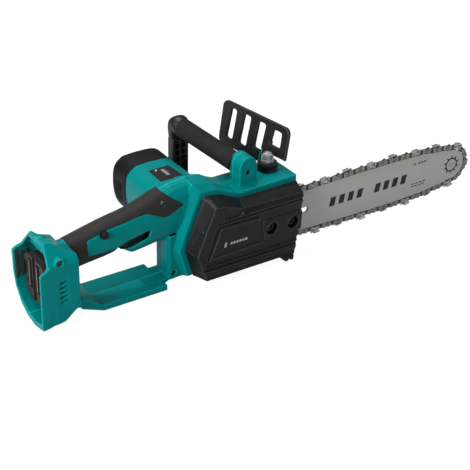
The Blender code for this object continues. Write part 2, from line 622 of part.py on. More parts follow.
core_in = loft("core_in", [(x, tube_section(hw - OVERMOULD_T - 0.2, zb + OVERMOULD_T + 0.2, zt - OVERMOULD_T - 0.2)) for x, hw, zb, zt in HANDLE], "x")
combine(pocket, core_in, "DIFFERENCE")
# the pocket stops at the foot and leaves the hump in front of the patch alone
bpy.data.objects.remove(core, do_unlink=True)
grips = {}
for nm, lo_y, hi_y, h in (("grip_overmould_right", -50, SPLIT_Y - 0.2, housing_right), ("grip_overmould_left", SPLIT_Y + 0.2, 200, housing_left)):
    g = twin(skin, nm)
    combine(g, box("gclip", (-400, lo_y, -200), (400, hi_y, 200)), "INTERSECT")
    pk = twin(pocket, "pk" + nm)
    if h is housing_left:
        # on the motor side the overmould stops short of the motor collar
        cut(g, prism("om3", grown(BARREL, (-43, 23), 1.1), "y", 36.0, 70.0))
        cut(pk, prism("om4", grown(BARREL, (-43, 23), 0.8), "y", 36.0, 70.0))
    combine(h, pk, "DIFFERENCE")
    grips[nm] = g
for o in (skin, pocket):
    bpy.data.objects.remove(o, do_unlink=True)
# lock-off button bore in the right half of the handle
LOCK = (-166.5, 40.0)
cut(grips["grip_overmould_right"], cyl("b18", LOCK, "y", 4.9, 5, 20, n=20))
cut(housing_right, cyl("b18", LOCK, "y", 4.9, 5, 28, n=20))
# latch notch in the roof of the foot and vent slots in its right wall
for k in range(5):
    z0 = 5.5 - 6.4 * k
    cut(housing_right, prism("v", [(-237, z0 - 1.2), (-228, z0 + 0.8), (-228, z0 + 2.8), (-237, z0 + 0.8)], "y", -12, -2))

# the housing screws' own holes
for i, (sx, sz, face, end, rb) in enumerate(SCREWS, 1):
    cut(housing_right, cyl("s3", (sx, sz), "y", 3.5, face - 6, face + 4.5, n=16), cyl("s4", (sx, sz), "y", 1.7, face, 40, n=12))
    cut(housing_left, cyl("s5", (sx, sz), "y", 1.7, 20, end - 3.0, n=12))
    if i == 2:
        cut(grips["grip_overmould_right"], cyl("s6", (sx, sz), "y", 3.5, 0, 30, n=16))
    screw = turned(f"housing_screw_{i}", (sx, sz), "y", [(0, face + 1.6), (3.1, face + 1.6), (3.1, face + 4.3), (1.5, face + 4.3), (1.5, end - 4.0), (0, end - 4.0)], DARKSTEEL, 16)
    cut(screw, box("sx", (sx - 2, face, sz - 0.4), (sx + 2, face + 2.9, sz + 0.4)), box("sz", (sx - 0.4, face, sz - 2), (sx + 0.4, face + 2.9, sz + 2)))
for i, (sx, sz) in enumerate(((-69.0, 53.5), (-20.0, -4.5)), 1):
    add(motor_end_cap, cyl("m0", (sx, sz), "y", 4.8, 115.3, 147.0, BLACK, 16))
    cut(motor_housing, cyl("m1", (sx, sz), "y", 1.7, 50, 120, n=12))
    cut(housing_left, cyl("m2", (sx, sz), "y", 1.7, 44, 60, n=12))
    cut(motor_end_cap, cyl("m3", (sx, sz), "y", 1.7, 110, 160, n=12), cyl("m4", (sx, sz), "y", 3.5, 118.3, 160, n=16))
    screw = turned(f"motor_cap_screw_{i}", (sx, sz), "y", [(0, 46.0), (1.5, 46.0), (1.5, 118.6), (3.1, 118.6), (3.1, 121.4), (0, 121.4)], DARKSTEEL, 16)

# ------------------------------------------------------------ moving controls
TRIG = [(-105.0, 28.6), (-134.3, 22.8), (-146.8, 15.8), (-132.4, 10.6), (-128.2, 13.0), (-107.4, 20.2)]
trigger = prism("trigger", TRIG, "y", 17.9, 42.1, BLACK)
add(trigger, prism("tt", [(-107, 21), (-97.6, 24), (-97.4, 36), (-107, 36), (-110, 26)], "y", 18.0, 42.0, BLACK))
cut(trigger, cyl("tp", (TRIGGER_PIVOT[0], TRIGGER_PIVOT[2]), "y", 2.06, 5, 55, n=16))
for h in (housing_right, housing_left):
    cut(h, cyl("tq", (TRIGGER_PIVOT[0], TRIGGER_PIVOT[2]), "y", 2.06, 12.8, 47.2, n=16))
trigger_pin = cyl("trigger_pin", (TRIGGER_PIVOT[0], TRIGGER_PIVOT[2]), "y", 2.0, 13.1, 46.9, STEEL, 16)
lock_off_button = turned("lock_off_button", LOCK, "y", [(0, 9.4), (3.6, 9.4), (4.5, 10.3), (4.5, 22.0), (0, 22.0)], BLACK, 20)
add(lock_off_button, box("lf", (LOCK[0] - 5.6, 20.0, 31.0), (LOCK[0] + 5.6, 22.4, 40.5), BLACK))
trigger_switch = box("trigger_switch", (-118, 20.5, 38.5), (-91, 39.5, 51.5), BLACK)
trigger_spring = ring("trigger_spring", (-120.0, 30.0), "z", 3.0, 1.8, 27.4, 38.2, STEEL, 12)

# ------------------------------------------------------------ cover and studs
CB = [(-51, -47), (-62, -8), (-37, 60), (-31, 61), (-13, 58), (15, 45.2), (103.5, 45.8), (101, -2), (98, -47), (72, -47)]
CF = [(-42, -48), (-57, -8.5), (-32, 52), (-28, 52.4), (-22, 51), (10, 39.5), (101, 37.5), (96.2, -2), (90, -48), (68, -48)]
CM = [((a[0] + b[0] * 2) / 3 - 0.0, (a[1] + b[1] * 2) / 3) for a, b in zip(CF, CB)]
chain_cover = loft("chain_cover", [(1.7, CB), (-4.0, CM), (-20.0, CF)], "y", BLACK)


cover_cavity = loft("tcv", [(2.5, inset_poly(CB, 2.6)), (-4.0, inset_poly(CM, 2.6)), (-17.2, inset_poly(CF, 2.6))], "y")
cut(chain_cover, cover_cavity, prism("tco", [(-16.8, -40), (3, -40), (3, 41.0), (-4, 40.0), (-16.8, 34.6)], "x", 84, 112))
# lip that guides the chain at the lower front, and the clamping block
add(chain_cover, prism("tl", [(66, -46), (76, -56), (88.5, -55.5), (90.0, -46)], "y", -20.0, -4.0, BLACK),
    box("tb", (44, -18, -8.6), (94.4, -2.2, 8.6), BLACK))
for sx in STUD_X:
    cut(chain_cover, cyl("tn", (sx, 0), "y", 8.4, -24, -9.0, n=24), cyl("th", (sx, 0), "y", 4.3, -12, 0, n=20))
# raised panel, upper step and lower groove of the outer face
add(chain_cover, prism("tp", [(-40, -17.5), (-22.5, 22.5), (30, 21.0), (36, -15)], "y", -21.0, -19.0, BLACK))
cut(chain_cover, prism("tg", [(-52, -32), (-52, -29.4), (92.6, -29.4), (92.6, -32)], "y", -24, -19.0),
    prism("tg2", [(-26, 27.4), (-25, 29.6), (106, 30.6), (106, 28.6)], "y", -24, -19.0))
for i, sx in enumerate(STUD_X, 1):
    stud = cyl(f"bar_stud_{i}", (sx, 0), "y", 4.0, -12.0, 21.0, STEEL, 16)
    nut = turned(f"cover_nut_{i}", (sx, 0), "y", [(0, -14.6), (4.6, -14.6), (5.6, -14.6), (7.2, -13.8), (7.8, -12.8), (7.8, -9.3), (0, -9.3)], DARKSTEEL, 24)
    cut(nut, cyl("tn1", (sx, 0), "y", 4.06, -13.0, -5.0, n=20), prism("tn2", circle(sx, 0, 3.9, 6), "y", -16.0, -12.0))
bar_backplate = prism("bar_backplate", rounded(30, -20.5, 99, 20.5, 6, 3), "y", 2.25, 4.7, STEEL)
for sx in STUD_X:
    cut(bar_backplate, cyl("tb", (sx, 0), "y", 4.3, 0, 8, n=20))
cut(bar_backplate, box("tb", (34.2, 0, -20.0), (45.8, 8, -11.8)))

# chain tensioner
tension_block = box("tension_block", (35.5, 7.9, -19.6), (44.5, 14.4, -12.4), STEEL)
add(tension_block, cyl("tt", (40.0, -16.0), "y", 3.0, -1.6, 8.6, STEEL, 16))
cut(tension_block, cyl("tt", (11.2, -16.0), "x", 2.06, 30, 50, n=16))
tension_screw = turned("tension_screw", (11.2, -16.0), "x", [(0, 34.0), (2.0, 34.0), (2.0, 99.0), (2.7, 99.5), (2.7, 103.4), (0, 103.4)], STEEL, 16)
cut(tension_screw, box("ts", (102.4, 8.0, -16.4), (105, 14.4, -15.6)))

# ------------------------------------------------------------------ oil system
oil_tank = box("oil_tank", (45.0, 39.0, -44.0), (100.0, 55.0, 44.2), TANK)
cut(oil_tank, box("tk", (47.5, 41.5, -41.5), (97.5, 52.5, 41.5)))
add(oil_tank, prism("tk2", [(66.5, 32.0), (93.5, 32.0), (93.5, 42), (66.5, 42)], "z", 38.0, 44.2, TANK))
cut(oil_tank, cyl("tk3", FILLER, "z", 6.0, 36, 50, n=16), box("tk4", (74.0, 34.0, 39.5), (86.0, 46.0, 42.5)))
oil_filler = turned("oil_filler", FILLER, "z", [(0, 44.6), (9.0, 44.6), (9.0, 54.4), (12.6, 54.4), (13.4, 55.6), (13.4, 63.2), (12.4, 65.2), (0, 65.2)], BLACK, 28)
cut(oil_filler, cyl("to", FILLER, "z", 6.0, 40, 70, n=20))
oil_cap_dome = turned("oil_cap_dome", FILLER, "z", [(0, 58.5), (5.6, 58.5), (5.6, 65.5), (8.6, 65.5), (8.6, 71.0), (8.0, 74.0), (6.0, 76.6), (3.0, 78.0), (0, 78.4)], CLEAR, 28)
oil_pump = box("oil_pump", (47.0, 9.0, -43.0), (66.0, 26.0, -25.0), DARKSTEEL)
oil_tube = cyl("oil_tube", (56.0, -34.0), "y", 2.6, 26.3, 38.7, BLACK, 16)

# ------------------------------------------------------------------- handles
A, B = Vector(TUBE_A), Vector(TUBE_B)
d = (B - A).normalized()
start = A + d * (36.0 - A.y) / d.y
front_handle = sweep("front_handle", [start, B + d * 4.0], TUBE_R - 3.0, BLACK, 20)
post = loft("fp", [(-34.0, [(3, 139), (27, 139), (27, 152), (3, 152)]), (70.0, [(3, 139), (27, 139), (27, 152), (3, 152)]), (89.0, [(-1, 139), (24, 139), (24, 153.5), (-1, 153.5)]), (98.0, [(0.5, 138), (22, 138), (22, 152.5), (0.5, 152.5)]), (103.0, [(5, 140), (18, 140), (18, 149), (5, 149)])], "z", BLACK)
leg = box("fl", (3, 58.4, -40), (27, 152, -28), BLACK)
shoe = prism("fs", rounded(-2, -46, 32, -22, 4, 2), "y", 58.4, 64.0, BLACK)
add(front_handle, post, leg, shoe)
# channel in the inner face of the post
cut(front_handle, box("fc", (6, 136, -18), (24, 144.5, 66)))
handle_grip = sweep("front_handle_grip", [A - d * 4.4, B - d * 8.5], TUBE_R, RUBBER, 24)
cut(handle_grip, sweep("fg", [A - d * 12.0, B + d * 12.0], TUBE_R - 2.7, RUBBER, 20))
cut(front_handle, cyl("fh", SCREW_H, "y", 1.95, 30, 44, n=16))
handle_boss_screw = turned("handle_boss_screw", SCREW_H, "y", [(0, 16.8), (2.9, 16.8), (2.9, 19.9), (1.9, 19.9), (1.9, 40.5), (0, 40.5)], DARKSTEEL, 16)
cut(handle_boss_screw, box("fx", (SCREW_H[0] - 0.45, 16, SCREW_H[1] - 2), (SCREW_H[0] + 0.45, 18, SCREW_H[1] + 2)), box("fx2", (SCREW_H[0] - 2, 16, SCREW_H[1] - 0.45), (SCREW_H[0] + 2, 18, SCREW_H[1] + 0.45)))

# hand guard: plate with four slots, skewed and leaning like the handle
g_tl, g_tr = Vector((88, 146, 107.5)), Vector((104, 19, 109.5))
LEAN = math.radians(10.2)
# plate drawn flat (a along its width, b up), then leaned and turned
W = 128.0
hand_guard = prism("hand_guard", rounded(0, -60, W, 0, 9, 3), "z", -2.4, 2.4, BLACK)
cut(hand_guard, prism("gc", [(W + 2, -62), (W + 2, -42.5), (W - 26, -42.5), (W - 38, -45), (W - 50, -58), (W - 50, -62)], "z", -6, 6))
for k, (a0, a1, b0) in enumerate(((16.5, 27, -49), (43.5, 55.5, -49), (72, 84.5, -48), (103.5, 117.5, -30.5))):
    cut(hand_guard, prism("gs", [(x, y) for x, y in rounded(a0, b0, a1, -7.0, 4.0, 2)], "z", -6, 6))
ex = (g_tr - g_tl).normalized()
up = Vector((math.sin(LEAN), 0, math.cos(LEAN)))
up = (up - ex * up.dot(ex)).normalized()
ez = ex.cross(up)
rot = Matrix((ex, up, ez)).transposed().to_4x4()
to_world = Matrix.Translation(g_tl) @ rot
for v in hand_guard.data.vertices:
    v.co = to_world @ v.co
px, py, pz = GUARD_PIVOT
cut(hand_guard, box("gn1", (80, 48.4, 40), (110, 52.0, 68.6)), box("gn2", (80, 60.0, 40), (110, 63.8, 68.6)))
lug = prism("gl", [(87.6, 60.5), (92, 57.4), (96.4, 60.5), (97.4, 68), (102.0, 80), (95.6, 80), (89.4, 66)], "y", 52.0, 60.0, BLACK)
add(hand_guard, lug)
cut(hand_guard, cyl("gp", (px, pz), "y", 2.26, 40, 75, n=16))
guard_pin = cyl("guard_pivot_pin", (px, pz), "y", 2.2, 49.0, 63.2, STEEL, 16)

# ---------------------------------------------------------------- electronics
terminal_block = prism("terminal_block", [(8, -30), (6, 22), (14, 26.5), (46, 26.5), (52, 20), (50, -20), (38, -32)], "x", -246, -229, BLACK)
contact_blade_pos = box("contact_blade_pos", (-254, 18, -14), (-246.3, 19.6, 20), COPPER)
contact_blade_neg = box("contact_blade_neg", (-254, 38, -14), (-246.3, 39.6, 20), COPPER)
control_board = box("control_board", (-71, 17, -36), (-68.5, 43, 4), BOARD)
heat_sink = box("board_heat_sink", (-68.2, 19, -34), (-61, 41, 2), STEEL)
for k in range(4):
    cut(heat_sink, box("hs", (-65, 21.5 + 5 * k, -50), (-52, 24 + 5 * k, 10)))

# ------------------------------------------------- millimetres become metres


def tidy(me):
    """Merges the flat neighbours that Booleans leave, where the solid stays closed and its volume the same."""
    bm = bmesh.new()
    bm.from_mesh(me)
    volume = bm.calc_volume()
    count = len(bm.faces)
    bm.free()
    for degrees in (0.6, 0.15, 0.03):
        bm = bmesh.new()
        bm.from_mesh(me)
        bmesh.ops.dissolve_limit(bm, angle_limit=math.radians(degrees), verts=bm.verts, edges=bm.edges, use_dissolve_boundaries=False)
        bmesh.ops.triangulate(bm, faces=bm.faces)
        bad = sum(len(e.link_faces) != 2 for e in bm.edges) + sum(f.calc_area() < 1e-5 for f in bm.faces)
        good = bad == 0 and abs(bm.calc_volume() - volume) < 2e-4 * abs(volume) and 0 < len(bm.faces) < count
        if good:
            bm.to_mesh(me)
            bm.free()
            return
        bm.free()


for o in bpy.data.objects:
    if o.type == "MESH":
        tidy(o.data)
        o.data.transform(Matrix.Scale(MM, 4))
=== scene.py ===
"""Looks for the cordless chainsaw: moulded shells, grips, bar, single-link chain, materials, studio."""

import json
import math

import bmesh
import bpy
import numpy as np
from mathutils import Matrix, Vector


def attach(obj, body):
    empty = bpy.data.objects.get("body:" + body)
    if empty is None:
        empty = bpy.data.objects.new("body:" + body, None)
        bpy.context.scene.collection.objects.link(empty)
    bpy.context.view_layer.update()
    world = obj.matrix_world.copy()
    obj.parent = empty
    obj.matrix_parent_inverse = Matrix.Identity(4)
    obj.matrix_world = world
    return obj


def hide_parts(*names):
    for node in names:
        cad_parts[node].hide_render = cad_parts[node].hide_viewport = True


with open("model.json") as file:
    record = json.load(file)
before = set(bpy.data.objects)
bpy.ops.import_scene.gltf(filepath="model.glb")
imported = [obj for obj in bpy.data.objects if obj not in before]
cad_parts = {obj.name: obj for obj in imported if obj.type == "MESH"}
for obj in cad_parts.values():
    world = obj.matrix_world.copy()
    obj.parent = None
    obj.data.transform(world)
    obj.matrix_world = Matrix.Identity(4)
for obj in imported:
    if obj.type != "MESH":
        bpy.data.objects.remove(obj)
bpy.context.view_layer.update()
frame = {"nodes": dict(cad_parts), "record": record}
NODES = frame["nodes"]
MM = 0.001

# ------------------------------------------------------------------ materials


def material(name, rgb, rough, metal=0.0, grain=1400.0, bump=0.25, depth=0.00012, vary=0.12, tint=None,
             spec=0.5, coat=0.0, edge=0.0, edge_rgb=None, rough_vary=0.08, pattern=None, brushed=None, sheen=0.0, spec_tint=None):
    """Principled material with fine grain, slow colour drift, uneven gloss, and lighter edges that are a painted edge
    highlight, with rubbed wear on metal.
    """
    m = bpy.data.materials.new(name)
    m.use_nodes = True
    nt = m.node_tree
    b = nt.nodes["Principled BSDF"]
    new, link = nt.nodes.new, nt.links.new
    b.inputs["Metallic"].default_value = metal
    b.inputs["Specular IOR Level"].default_value = spec
    b.inputs["Coat Weight"].default_value = coat
    if spec_tint:
        b.inputs["Specular Tint"].default_value = (*spec_tint, 1.0)
    b.inputs["Coat Roughness"].default_value = 0.25
    if sheen:
        b.inputs["Sheen Weight"].default_value = sheen
        b.inputs["Sheen Roughness"].default_value = 0.6
    at = new("ShaderNodeTexCoord").outputs["Object"]

    def noise(scale, detail=3.0, source=at):
        n = new("ShaderNodeTexNoise")
        n.inputs["Scale"].default_value = scale
        n.inputs["Detail"].default_value = detail
        link(source, n.inputs["Vector"])
        return n.outputs["Fac"]

    def ramp(fac, lo, hi, a, c):
        r = new("ShaderNodeMapRange")
        r.inputs["From Min"].default_value = lo
        r.inputs["From Max"].default_value = hi
        r.inputs["To Min"].default_value = a
        r.inputs["To Max"].default_value = c
        link(fac, r.inputs["Value"])
        return r.outputs["Result"]

    def blend(fac, ca, cb):
        x = new("ShaderNodeMix")
        x.data_type = "RGBA"
        for value, slot in ((ca, x.inputs[6]), (cb, x.inputs[7])):
            if isinstance(value, tuple):
                slot.default_value = (*value, 1.0)
            else:
                link(value, slot)
        link(fac, x.inputs[0])
        return x.outputs[2]

    other = tint or tuple(c * (1 - vary) for c in rgb)
    colour = blend(ramp(noise(26.0, 4.0), 0.35, 0.65, 0.0, 1.0), tuple(rgb), tuple(other))
    speck = blend(ramp(noise(grain * 0.5, 1.0), 0.3, 0.7, 0.0, 0.35), colour, tuple(c * 0.8 for c in rgb))
    # lighter edges by pointiness: a painted highlight along edges and ridges, and on metal parts also rubbed wear
    if edge:
        g = new("ShaderNodeNewGeometry")
        edge_highlight_and_wear = ramp(g.outputs["Pointiness"], 0.51, 0.56, 0.0, edge)
        speck = blend(edge_highlight_and_wear, speck, edge_rgb or tuple(min(1.0, c * 1.5 + 0.02) for c in rgb))
    link(speck, b.inputs["Base Color"])
    link(ramp(noise(70.0, 4.0), 0.3, 0.7, max(0.05, rough - rough_vary), min(1.0, rough + rough_vary)), b.inputs["Roughness"])

    height = noise(grain, 2.0)
    if pattern:
        height = pattern(nt, at, height)
    if brushed:
        mp = new("ShaderNodeMapping")
        mp.inputs["Scale"].default_value = brushed
        link(at, mp.inputs["Vector"])
        height = noise(1.0, 4.0, mp.outputs["Vector"])
    bp = new("ShaderNodeBump")
    bp.inputs["Strength"].default_value = bump
    bp.inputs["Distance"].default_value = depth
    link(height, bp.inputs["Height"])
    link(bp.outputs["Normal"], b.inputs["Normal"])
    return m


def knurl(nt, at, height):
    """Fine diamond grip texture: two crossed waves along the sleeve."""
    new, link = nt.nodes.new, nt.links.new
    outs = []
    for direction in ((1500.0, 2100.0, 1500.0), (1500.0, -2100.0, 1500.0)):
        mp = new("ShaderNodeMapping")
        mp.inputs["Scale"].default_value = direction
        link(at, mp.inputs["Vector"])
        sp = new("ShaderNodeSeparateXYZ")
        link(mp.outputs["Vector"], sp.inputs[0])
        add1 = new("ShaderNodeMath")
        add1.operation = "ADD"
        link(sp.outputs[0], add1.inputs[0])
        link(sp.outputs[1], add1.inputs[1])
        add2 = new("ShaderNodeMath")
        add2.operation = "ADD"
        link(add1.outputs[0], add2.inputs[0])
        link(sp.outputs[2], add2.inputs[1])
        s = new("ShaderNodeMath")
        s.operation = "SINE"
        link(add2.outputs[0], s.inputs[0])
        outs.append(s.outputs[0])
    mul = new("ShaderNodeMath")
    mul.operation = "MULTIPLY"
    link(outs[0], mul.inputs[0])
    link(outs[1], mul.inputs[1])
    mx = new("ShaderNodeMath")
    mx.operation = "MULTIPLY_ADD"
    link(mul.outputs[0], mx.inputs[0])
    mx.inputs[1].default_value = 0.6
    link(height, mx.inputs[2])
    return mx.outputs[0]


# the edge and edge_rgb values below paint a lighter highlight along edges and ridges; on the metal parts they also
# stand for rubbed wear
TEAL = material("teal_abs", (0.0, 0.200, 0.198), 0.42, bump=0.3, depth=0.00010, vary=0.07, tint=(0.0, 0.184, 0.183), edge=0.8, edge_rgb=(0.002, 0.40, 0.395), spec=0.24, spec_tint=(0.05, 0.95, 0.95))
BLACK = material("black_nylon", (0.0052, 0.0053, 0.0055), 0.5, bump=0.5, depth=0.00014, grain=1700, vary=0.2, edge=0.55, edge_rgb=(0.034, 0.035, 0.036), spec=0.18)
COVER = material("cover_nylon", (0.0050, 0.0052, 0.0054), 0.42, bump=0.45, depth=0.00012, grain=1700, vary=0.2, edge=1.0, edge_rgb=(0.085, 0.086, 0.088), spec=0.27)
GUARD = material("black_moulded", (0.0110, 0.0104, 0.0096), 0.44, bump=0.35, depth=0.0001, grain=1500, vary=0.2, edge=0.7, edge_rgb=(0.055, 0.052, 0.046), spec=0.35)
RUBBER = material("soft_rubber", (0.0130, 0.0120, 0.0114), 0.64, bump=0.75, depth=0.00022, grain=1900, vary=0.15, edge=0.4, edge_rgb=(0.04, 0.037, 0.035), spec=0.22, sheen=0.06, pattern=knurl)
SLEEVE = material("ribbed_sleeve", (0.0085, 0.0080, 0.0076), 0.6, bump=0.9, depth=0.00045, grain=1500, vary=0.15, spec=0.26, sheen=0.0, pattern=knurl)
BAR = material("bar_steel", (0.385, 0.388, 0.368), 0.5, metal=0.12, bump=0.10, depth=0.00003, vary=0.05, brushed=(60.0, 400.0, 2600.0), edge=0.35, edge_rgb=(0.55, 0.55, 0.53), rough_vary=0.06, spec=0.35)
PRINT = material("dark_print", (0.020, 0.021, 0.019), 0.55, bump=0.1, vary=0.25, rough_vary=0.1, spec=0.25)
STRAP = material("chain_strap", (0.016, 0.0145, 0.0125), 0.36, metal=0.7, bump=0.4, depth=0.00006, grain=2200, vary=0.6, edge=0.9, edge_rgb=(0.34, 0.32, 0.29), rough_vary=0.16)
LINK = material("chain_drive_link", (0.018, 0.016, 0.014), 0.42, metal=0.75, bump=0.4, depth=0.00006, grain=2200, vary=0.5, edge=0.5, edge_rgb=(0.2, 0.19, 0.17), rough_vary=0.14)
CUTTER = material("chain_cutter", (0.050, 0.046, 0.040), 0.30, metal=0.85, bump=0.3, depth=0.00005, grain=2400, vary=0.6, edge=0.8, edge_rgb=(0.6, 0.59, 0.56), rough_vary=0.12)
RIVET = material("chain_rivet", (0.15, 0.14, 0.13), 0.32, metal=0.9, bump=0.2, depth=0.00004, grain=1800, vary=0.6, edge=0.5, edge_rgb=(0.5, 0.48, 0.45))
STEEL = material("steel", (0.42, 0.42, 0.41), 0.33, metal=1.0, bump=0.2, depth=0.00004, vary=0.12, brushed=(300.0, 3000.0, 300.0), edge=0.4)
OXIDE = material("black_oxide", (0.018, 0.0175, 0.017), 0.34, metal=0.6, bump=0.25, depth=0.00005, grain=1600, vary=0.3, edge=0.6, edge_rgb=(0.16, 0.155, 0.15), spec=0.4)
COPPER = material("copper", (0.62, 0.29, 0.14), 0.33, metal=1.0, bump=0.5, depth=0.0002, vary=0.25, grain=900)
BRASS = material("contact_alloy", (0.30, 0.27, 0.22), 0.34, metal=0.9, bump=0.15, depth=0.00003, vary=0.2)
BOARD = material("circuit_board", (0.012, 0.10, 0.045), 0.4, bump=0.3, depth=0.0002, vary=0.3, grain=500, coat=0.3)
ALLOY = material("cast_aluminium", (0.58, 0.58, 0.6), 0.42, metal=1.0, bump=0.5, depth=0.0001, vary=0.1, grain=1200)
TANK = material("tank_plastic", (0.5, 0.5, 0.44), 0.42, bump=0.3, depth=0.0001, vary=0.08)
TERMINAL = material("terminal_plastic", (0.022, 0.016, 0.014), 0.5, bump=0.35, depth=0.0001, vary=0.3, edge=0.5, edge_rgb=(0.07, 0.055, 0.05), spec=0.35)
LABEL = material("label_film", (0.010, 0.011, 0.014), 0.34, bump=0.08, depth=0.00003, vary=0.15, coat=0.2, spec=0.3)
MARK = material("label_mark", (0.42, 0.45, 0.48), 0.4, bump=0.05, vary=0.12)


def clear_material():
    m = bpy.data.materials.new("clear_plastic")
    m.use_nodes = True
    nt = m.node_tree
    b = nt.nodes["Principled BSDF"]
    b.inputs["Base Color"].default_value = (0.93, 0.95, 0.97, 1)
    b.inputs["Transmission Weight"].default_value = 0.92
    b.inputs["IOR"].default_value = 1.46
    b.inputs["Specular IOR Level"].default_value = 0.6
    t = nt.nodes.new("ShaderNodeTexCoord")
    n = nt.nodes.new("ShaderNodeTexNoise")
    n.inputs["Scale"].default_value = 260.0
    nt.links.new(t.outputs["Object"], n.inputs["Vector"])
    r = nt.nodes.new("ShaderNodeMapRange")
    r.inputs["To Min"].default_value = 0.03
    r.inputs["To Max"].default_value = 0.16
    nt.links.new(n.outputs["Fac"], r.inputs["Value"])
    nt.links.new(r.outputs["Result"], b.inputs["Roughness"])
    return m


CLEAR = clear_material()
SLOT_MATERIAL = {"teal_abs": TEAL, "black_nylon": BLACK, "soft_rubber": RUBBER, "steel": STEEL, "dark_steel": OXIDE, "bar_steel": BAR,
                 "chain_steel": STRAP, "copper": COPPER, "circuit_board": BOARD, "aluminium": ALLOY, "clear_plastic": CLEAR, "tank_plastic": TANK}
SLOTS = {p["node"]: p["material_slot"] for p in frame["record"]["subparts"]}
for name, o in NODES.items():
    o.data.materials.clear()
    o.data.materials.append(SLOT_MATERIAL[SLOTS[name]])
for name in ("contact_blade_pos", "contact_blade_neg"):
    NODES[name].data.materials[0] = BRASS
for name in ("bar_stud_1", "bar_stud_2"):
    NODES[name].data.materials[0] = OXIDE
for name in ("terminal_block", "trigger_switch"):
    NODES[name].data.materials[0] = TERMINAL

# -------------------------------------------------------------- mesh helpers


def link_object(name, me, mat):
    o = bpy.data.objects.new(name, me)
    bpy.context.scene.collection.objects.link(o)
    me.materials.clear()
    me.materials.append(mat)
    return o


def from_bmesh(name, bm, mat, smooth=35):
    bmesh.ops.remove_doubles(bm, verts=bm.verts, dist=1e-4)
    bmesh.ops.recalc_face_normals(bm, faces=bm.faces)
    me = bpy.data.meshes.new(name)
    bm.to_mesh(me)
    bm.free()
    o = link_object(name, me, mat)
    if smooth:
        me.shade_smooth()
        me.set_sharp_from_angle(angle=math.radians(smooth))
    return o


def axes(axis):
    return {"x": (Vector((0, 1, 0)), Vector((0, 0, 1)), Vector((1, 0, 0))),
            "y": (Vector((1, 0, 0)), Vector((0, 0, 1)), Vector((0, 1, 0))),
            "z": (Vector((1, 0, 0)), Vector((0, 1, 0)), Vector((0, 0, 1)))}[axis]


def loft(name, sections, axis, mat, smooth=35, closed=False):
    """Skin through polygons of equal count, millimetres; capped, or joined end to end when closed."""
    u, v, w = axes(axis)
    bm = bmesh.new()
    rings = [[bm.verts.new(u * a + v * b + w * h) for a, b in pts] for h, pts in sections]
    n = len(rings[0])
    pairs = list(zip(rings, rings[1:])) + ([(rings[-1], rings[0])] if closed else [])
    for r0, r1 in pairs:
        for i in range(n):
            j = (i + 1) % n
            bm.faces.new((r0[i], r0[j], r1[j], r1[i]))
    if not closed:
        bm.faces.new(rings[0])
        bm.faces.new(rings[-1])
    return from_bmesh(name, bm, mat, smooth)


def prism(name, pts, axis, lo, hi, mat, smooth=None, bevel=0.0):
    """Straight prism; bevel draws both rims in by that much."""
    if not bevel:
        return loft(name, [(lo, pts), (hi, pts)], axis, mat, smooth)
    small = inset(pts, bevel)
    return loft(name, [(lo, small), (lo + bevel, pts), (hi - bevel, pts), (hi, small)], axis, mat, smooth)


def box(name, lo, hi, mat, bevel=0.0):
    return prism(name, [(lo[0], lo[1]), (hi[0], lo[1]), (hi[0], hi[1]), (lo[0], hi[1])], "z", lo[2], hi[2], mat, None, bevel)


def circle(cx, cy, r, n=48, start=0.0):
    return [(cx + r * math.cos(start + 2 * math.pi * i / n), cy + r * math.sin(start + 2 * math.pi * i / n)) for i in range(n)]


def cyl(name, c, axis, r, lo, hi, mat, n=48):
    return prism(name, circle(c[0], c[1], r, n), axis, lo, hi, mat, 35)


def turned(name, c, axis, prof, mat, n=64, closed=False):
    """Solid of revolution from (radius, height) points."""
    u, v, w = axes(axis)
    bm = bmesh.new()
    rings = []
    for r, h in prof:
        if r < 1e-6:
            rings.append([bm.verts.new(u * c[0] + v * c[1] + w * h)])
        else:
            rings.append([bm.verts.new(u * a + v * b + w * h) for a, b in circle(c[0], c[1], r, n)])
    pairs = list(zip(rings, rings[1:])) + ([(rings[-1], rings[0])] if closed else [])
    for r0, r1 in pairs:
        for i in range(n):
            j = (i + 1) % n
            if len(r0) == 1 and len(r1) == 1:
                continue
            if len(r0) == 1:
                bm.faces.new((r0[0], r1[j], r1[i]))
            elif len(r1) == 1:
                bm.faces.new((r0[i], r0[j], r1[0]))
            else:
                bm.faces.new((r0[i], r0[j], r1[j], r1[i]))
    return from_bmesh(name, bm, mat, 35)


def inset(pts, d):
    n = len(pts)
    area = sum(pts[i][0] * pts[(i + 1) % n][1] - pts[(i + 1) % n][0] * pts[i][1] for i in range(n))
    s = 1 if area > 0 else -1
    out = []
    for i in range(n):
        p0, p1, p2 = Vector(pts[i - 1]), Vector(pts[i]), Vector(pts[(i + 1) % n])
        e1, e2 = (p1 - p0).normalized(), (p2 - p1).normalized()
        n1, n2 = Vector((-e1.y, e1.x)) * s, Vector((-e2.y, e2.x)) * s
        k = n1 + n2
        k = k * (d / max(0.3, k.dot(n1)))
        out.append((p1.x + k.x, p1.y + k.y))
    return out


def rounded(x0, y0, x1, y1, r, n=6):
    out = []
    for cx, cy, a0 in ((x1 - r, y1 - r, 0), (x0 + r, y1 - r, 90), (x0 + r, y0 + r, 180), (x1 - r, y0 + r, 270)):
        for k in range(n + 1):
            a = math.radians(a0 + 90 * k / n)
            out.append((cx + r * math.cos(a), cy + r * math.sin(a)))
    return out


def soft_corners(pts, r, n=5):
    """Polygon with each corner replaced by an arc-like curve that starts r from the corner."""
    out = []
    m = len(pts)
    for i in range(m):
        p0, p1, p2 = Vector(pts[i - 1]), Vector(pts[i]), Vector(pts[(i + 1) % m])
        a = p1 + (p0 - p1).normalized() * min(r, (p0 - p1).length * 0.45)
        c = p1 + (p2 - p1).normalized() * min(r, (p2 - p1).length * 0.45)
        for k in range(n + 1):
            t = k / n
            q = a * (1 - t) ** 2 + p1 * 2 * t * (1 - t) + c * t * t
            out.append((q.x, q.y))
    return out


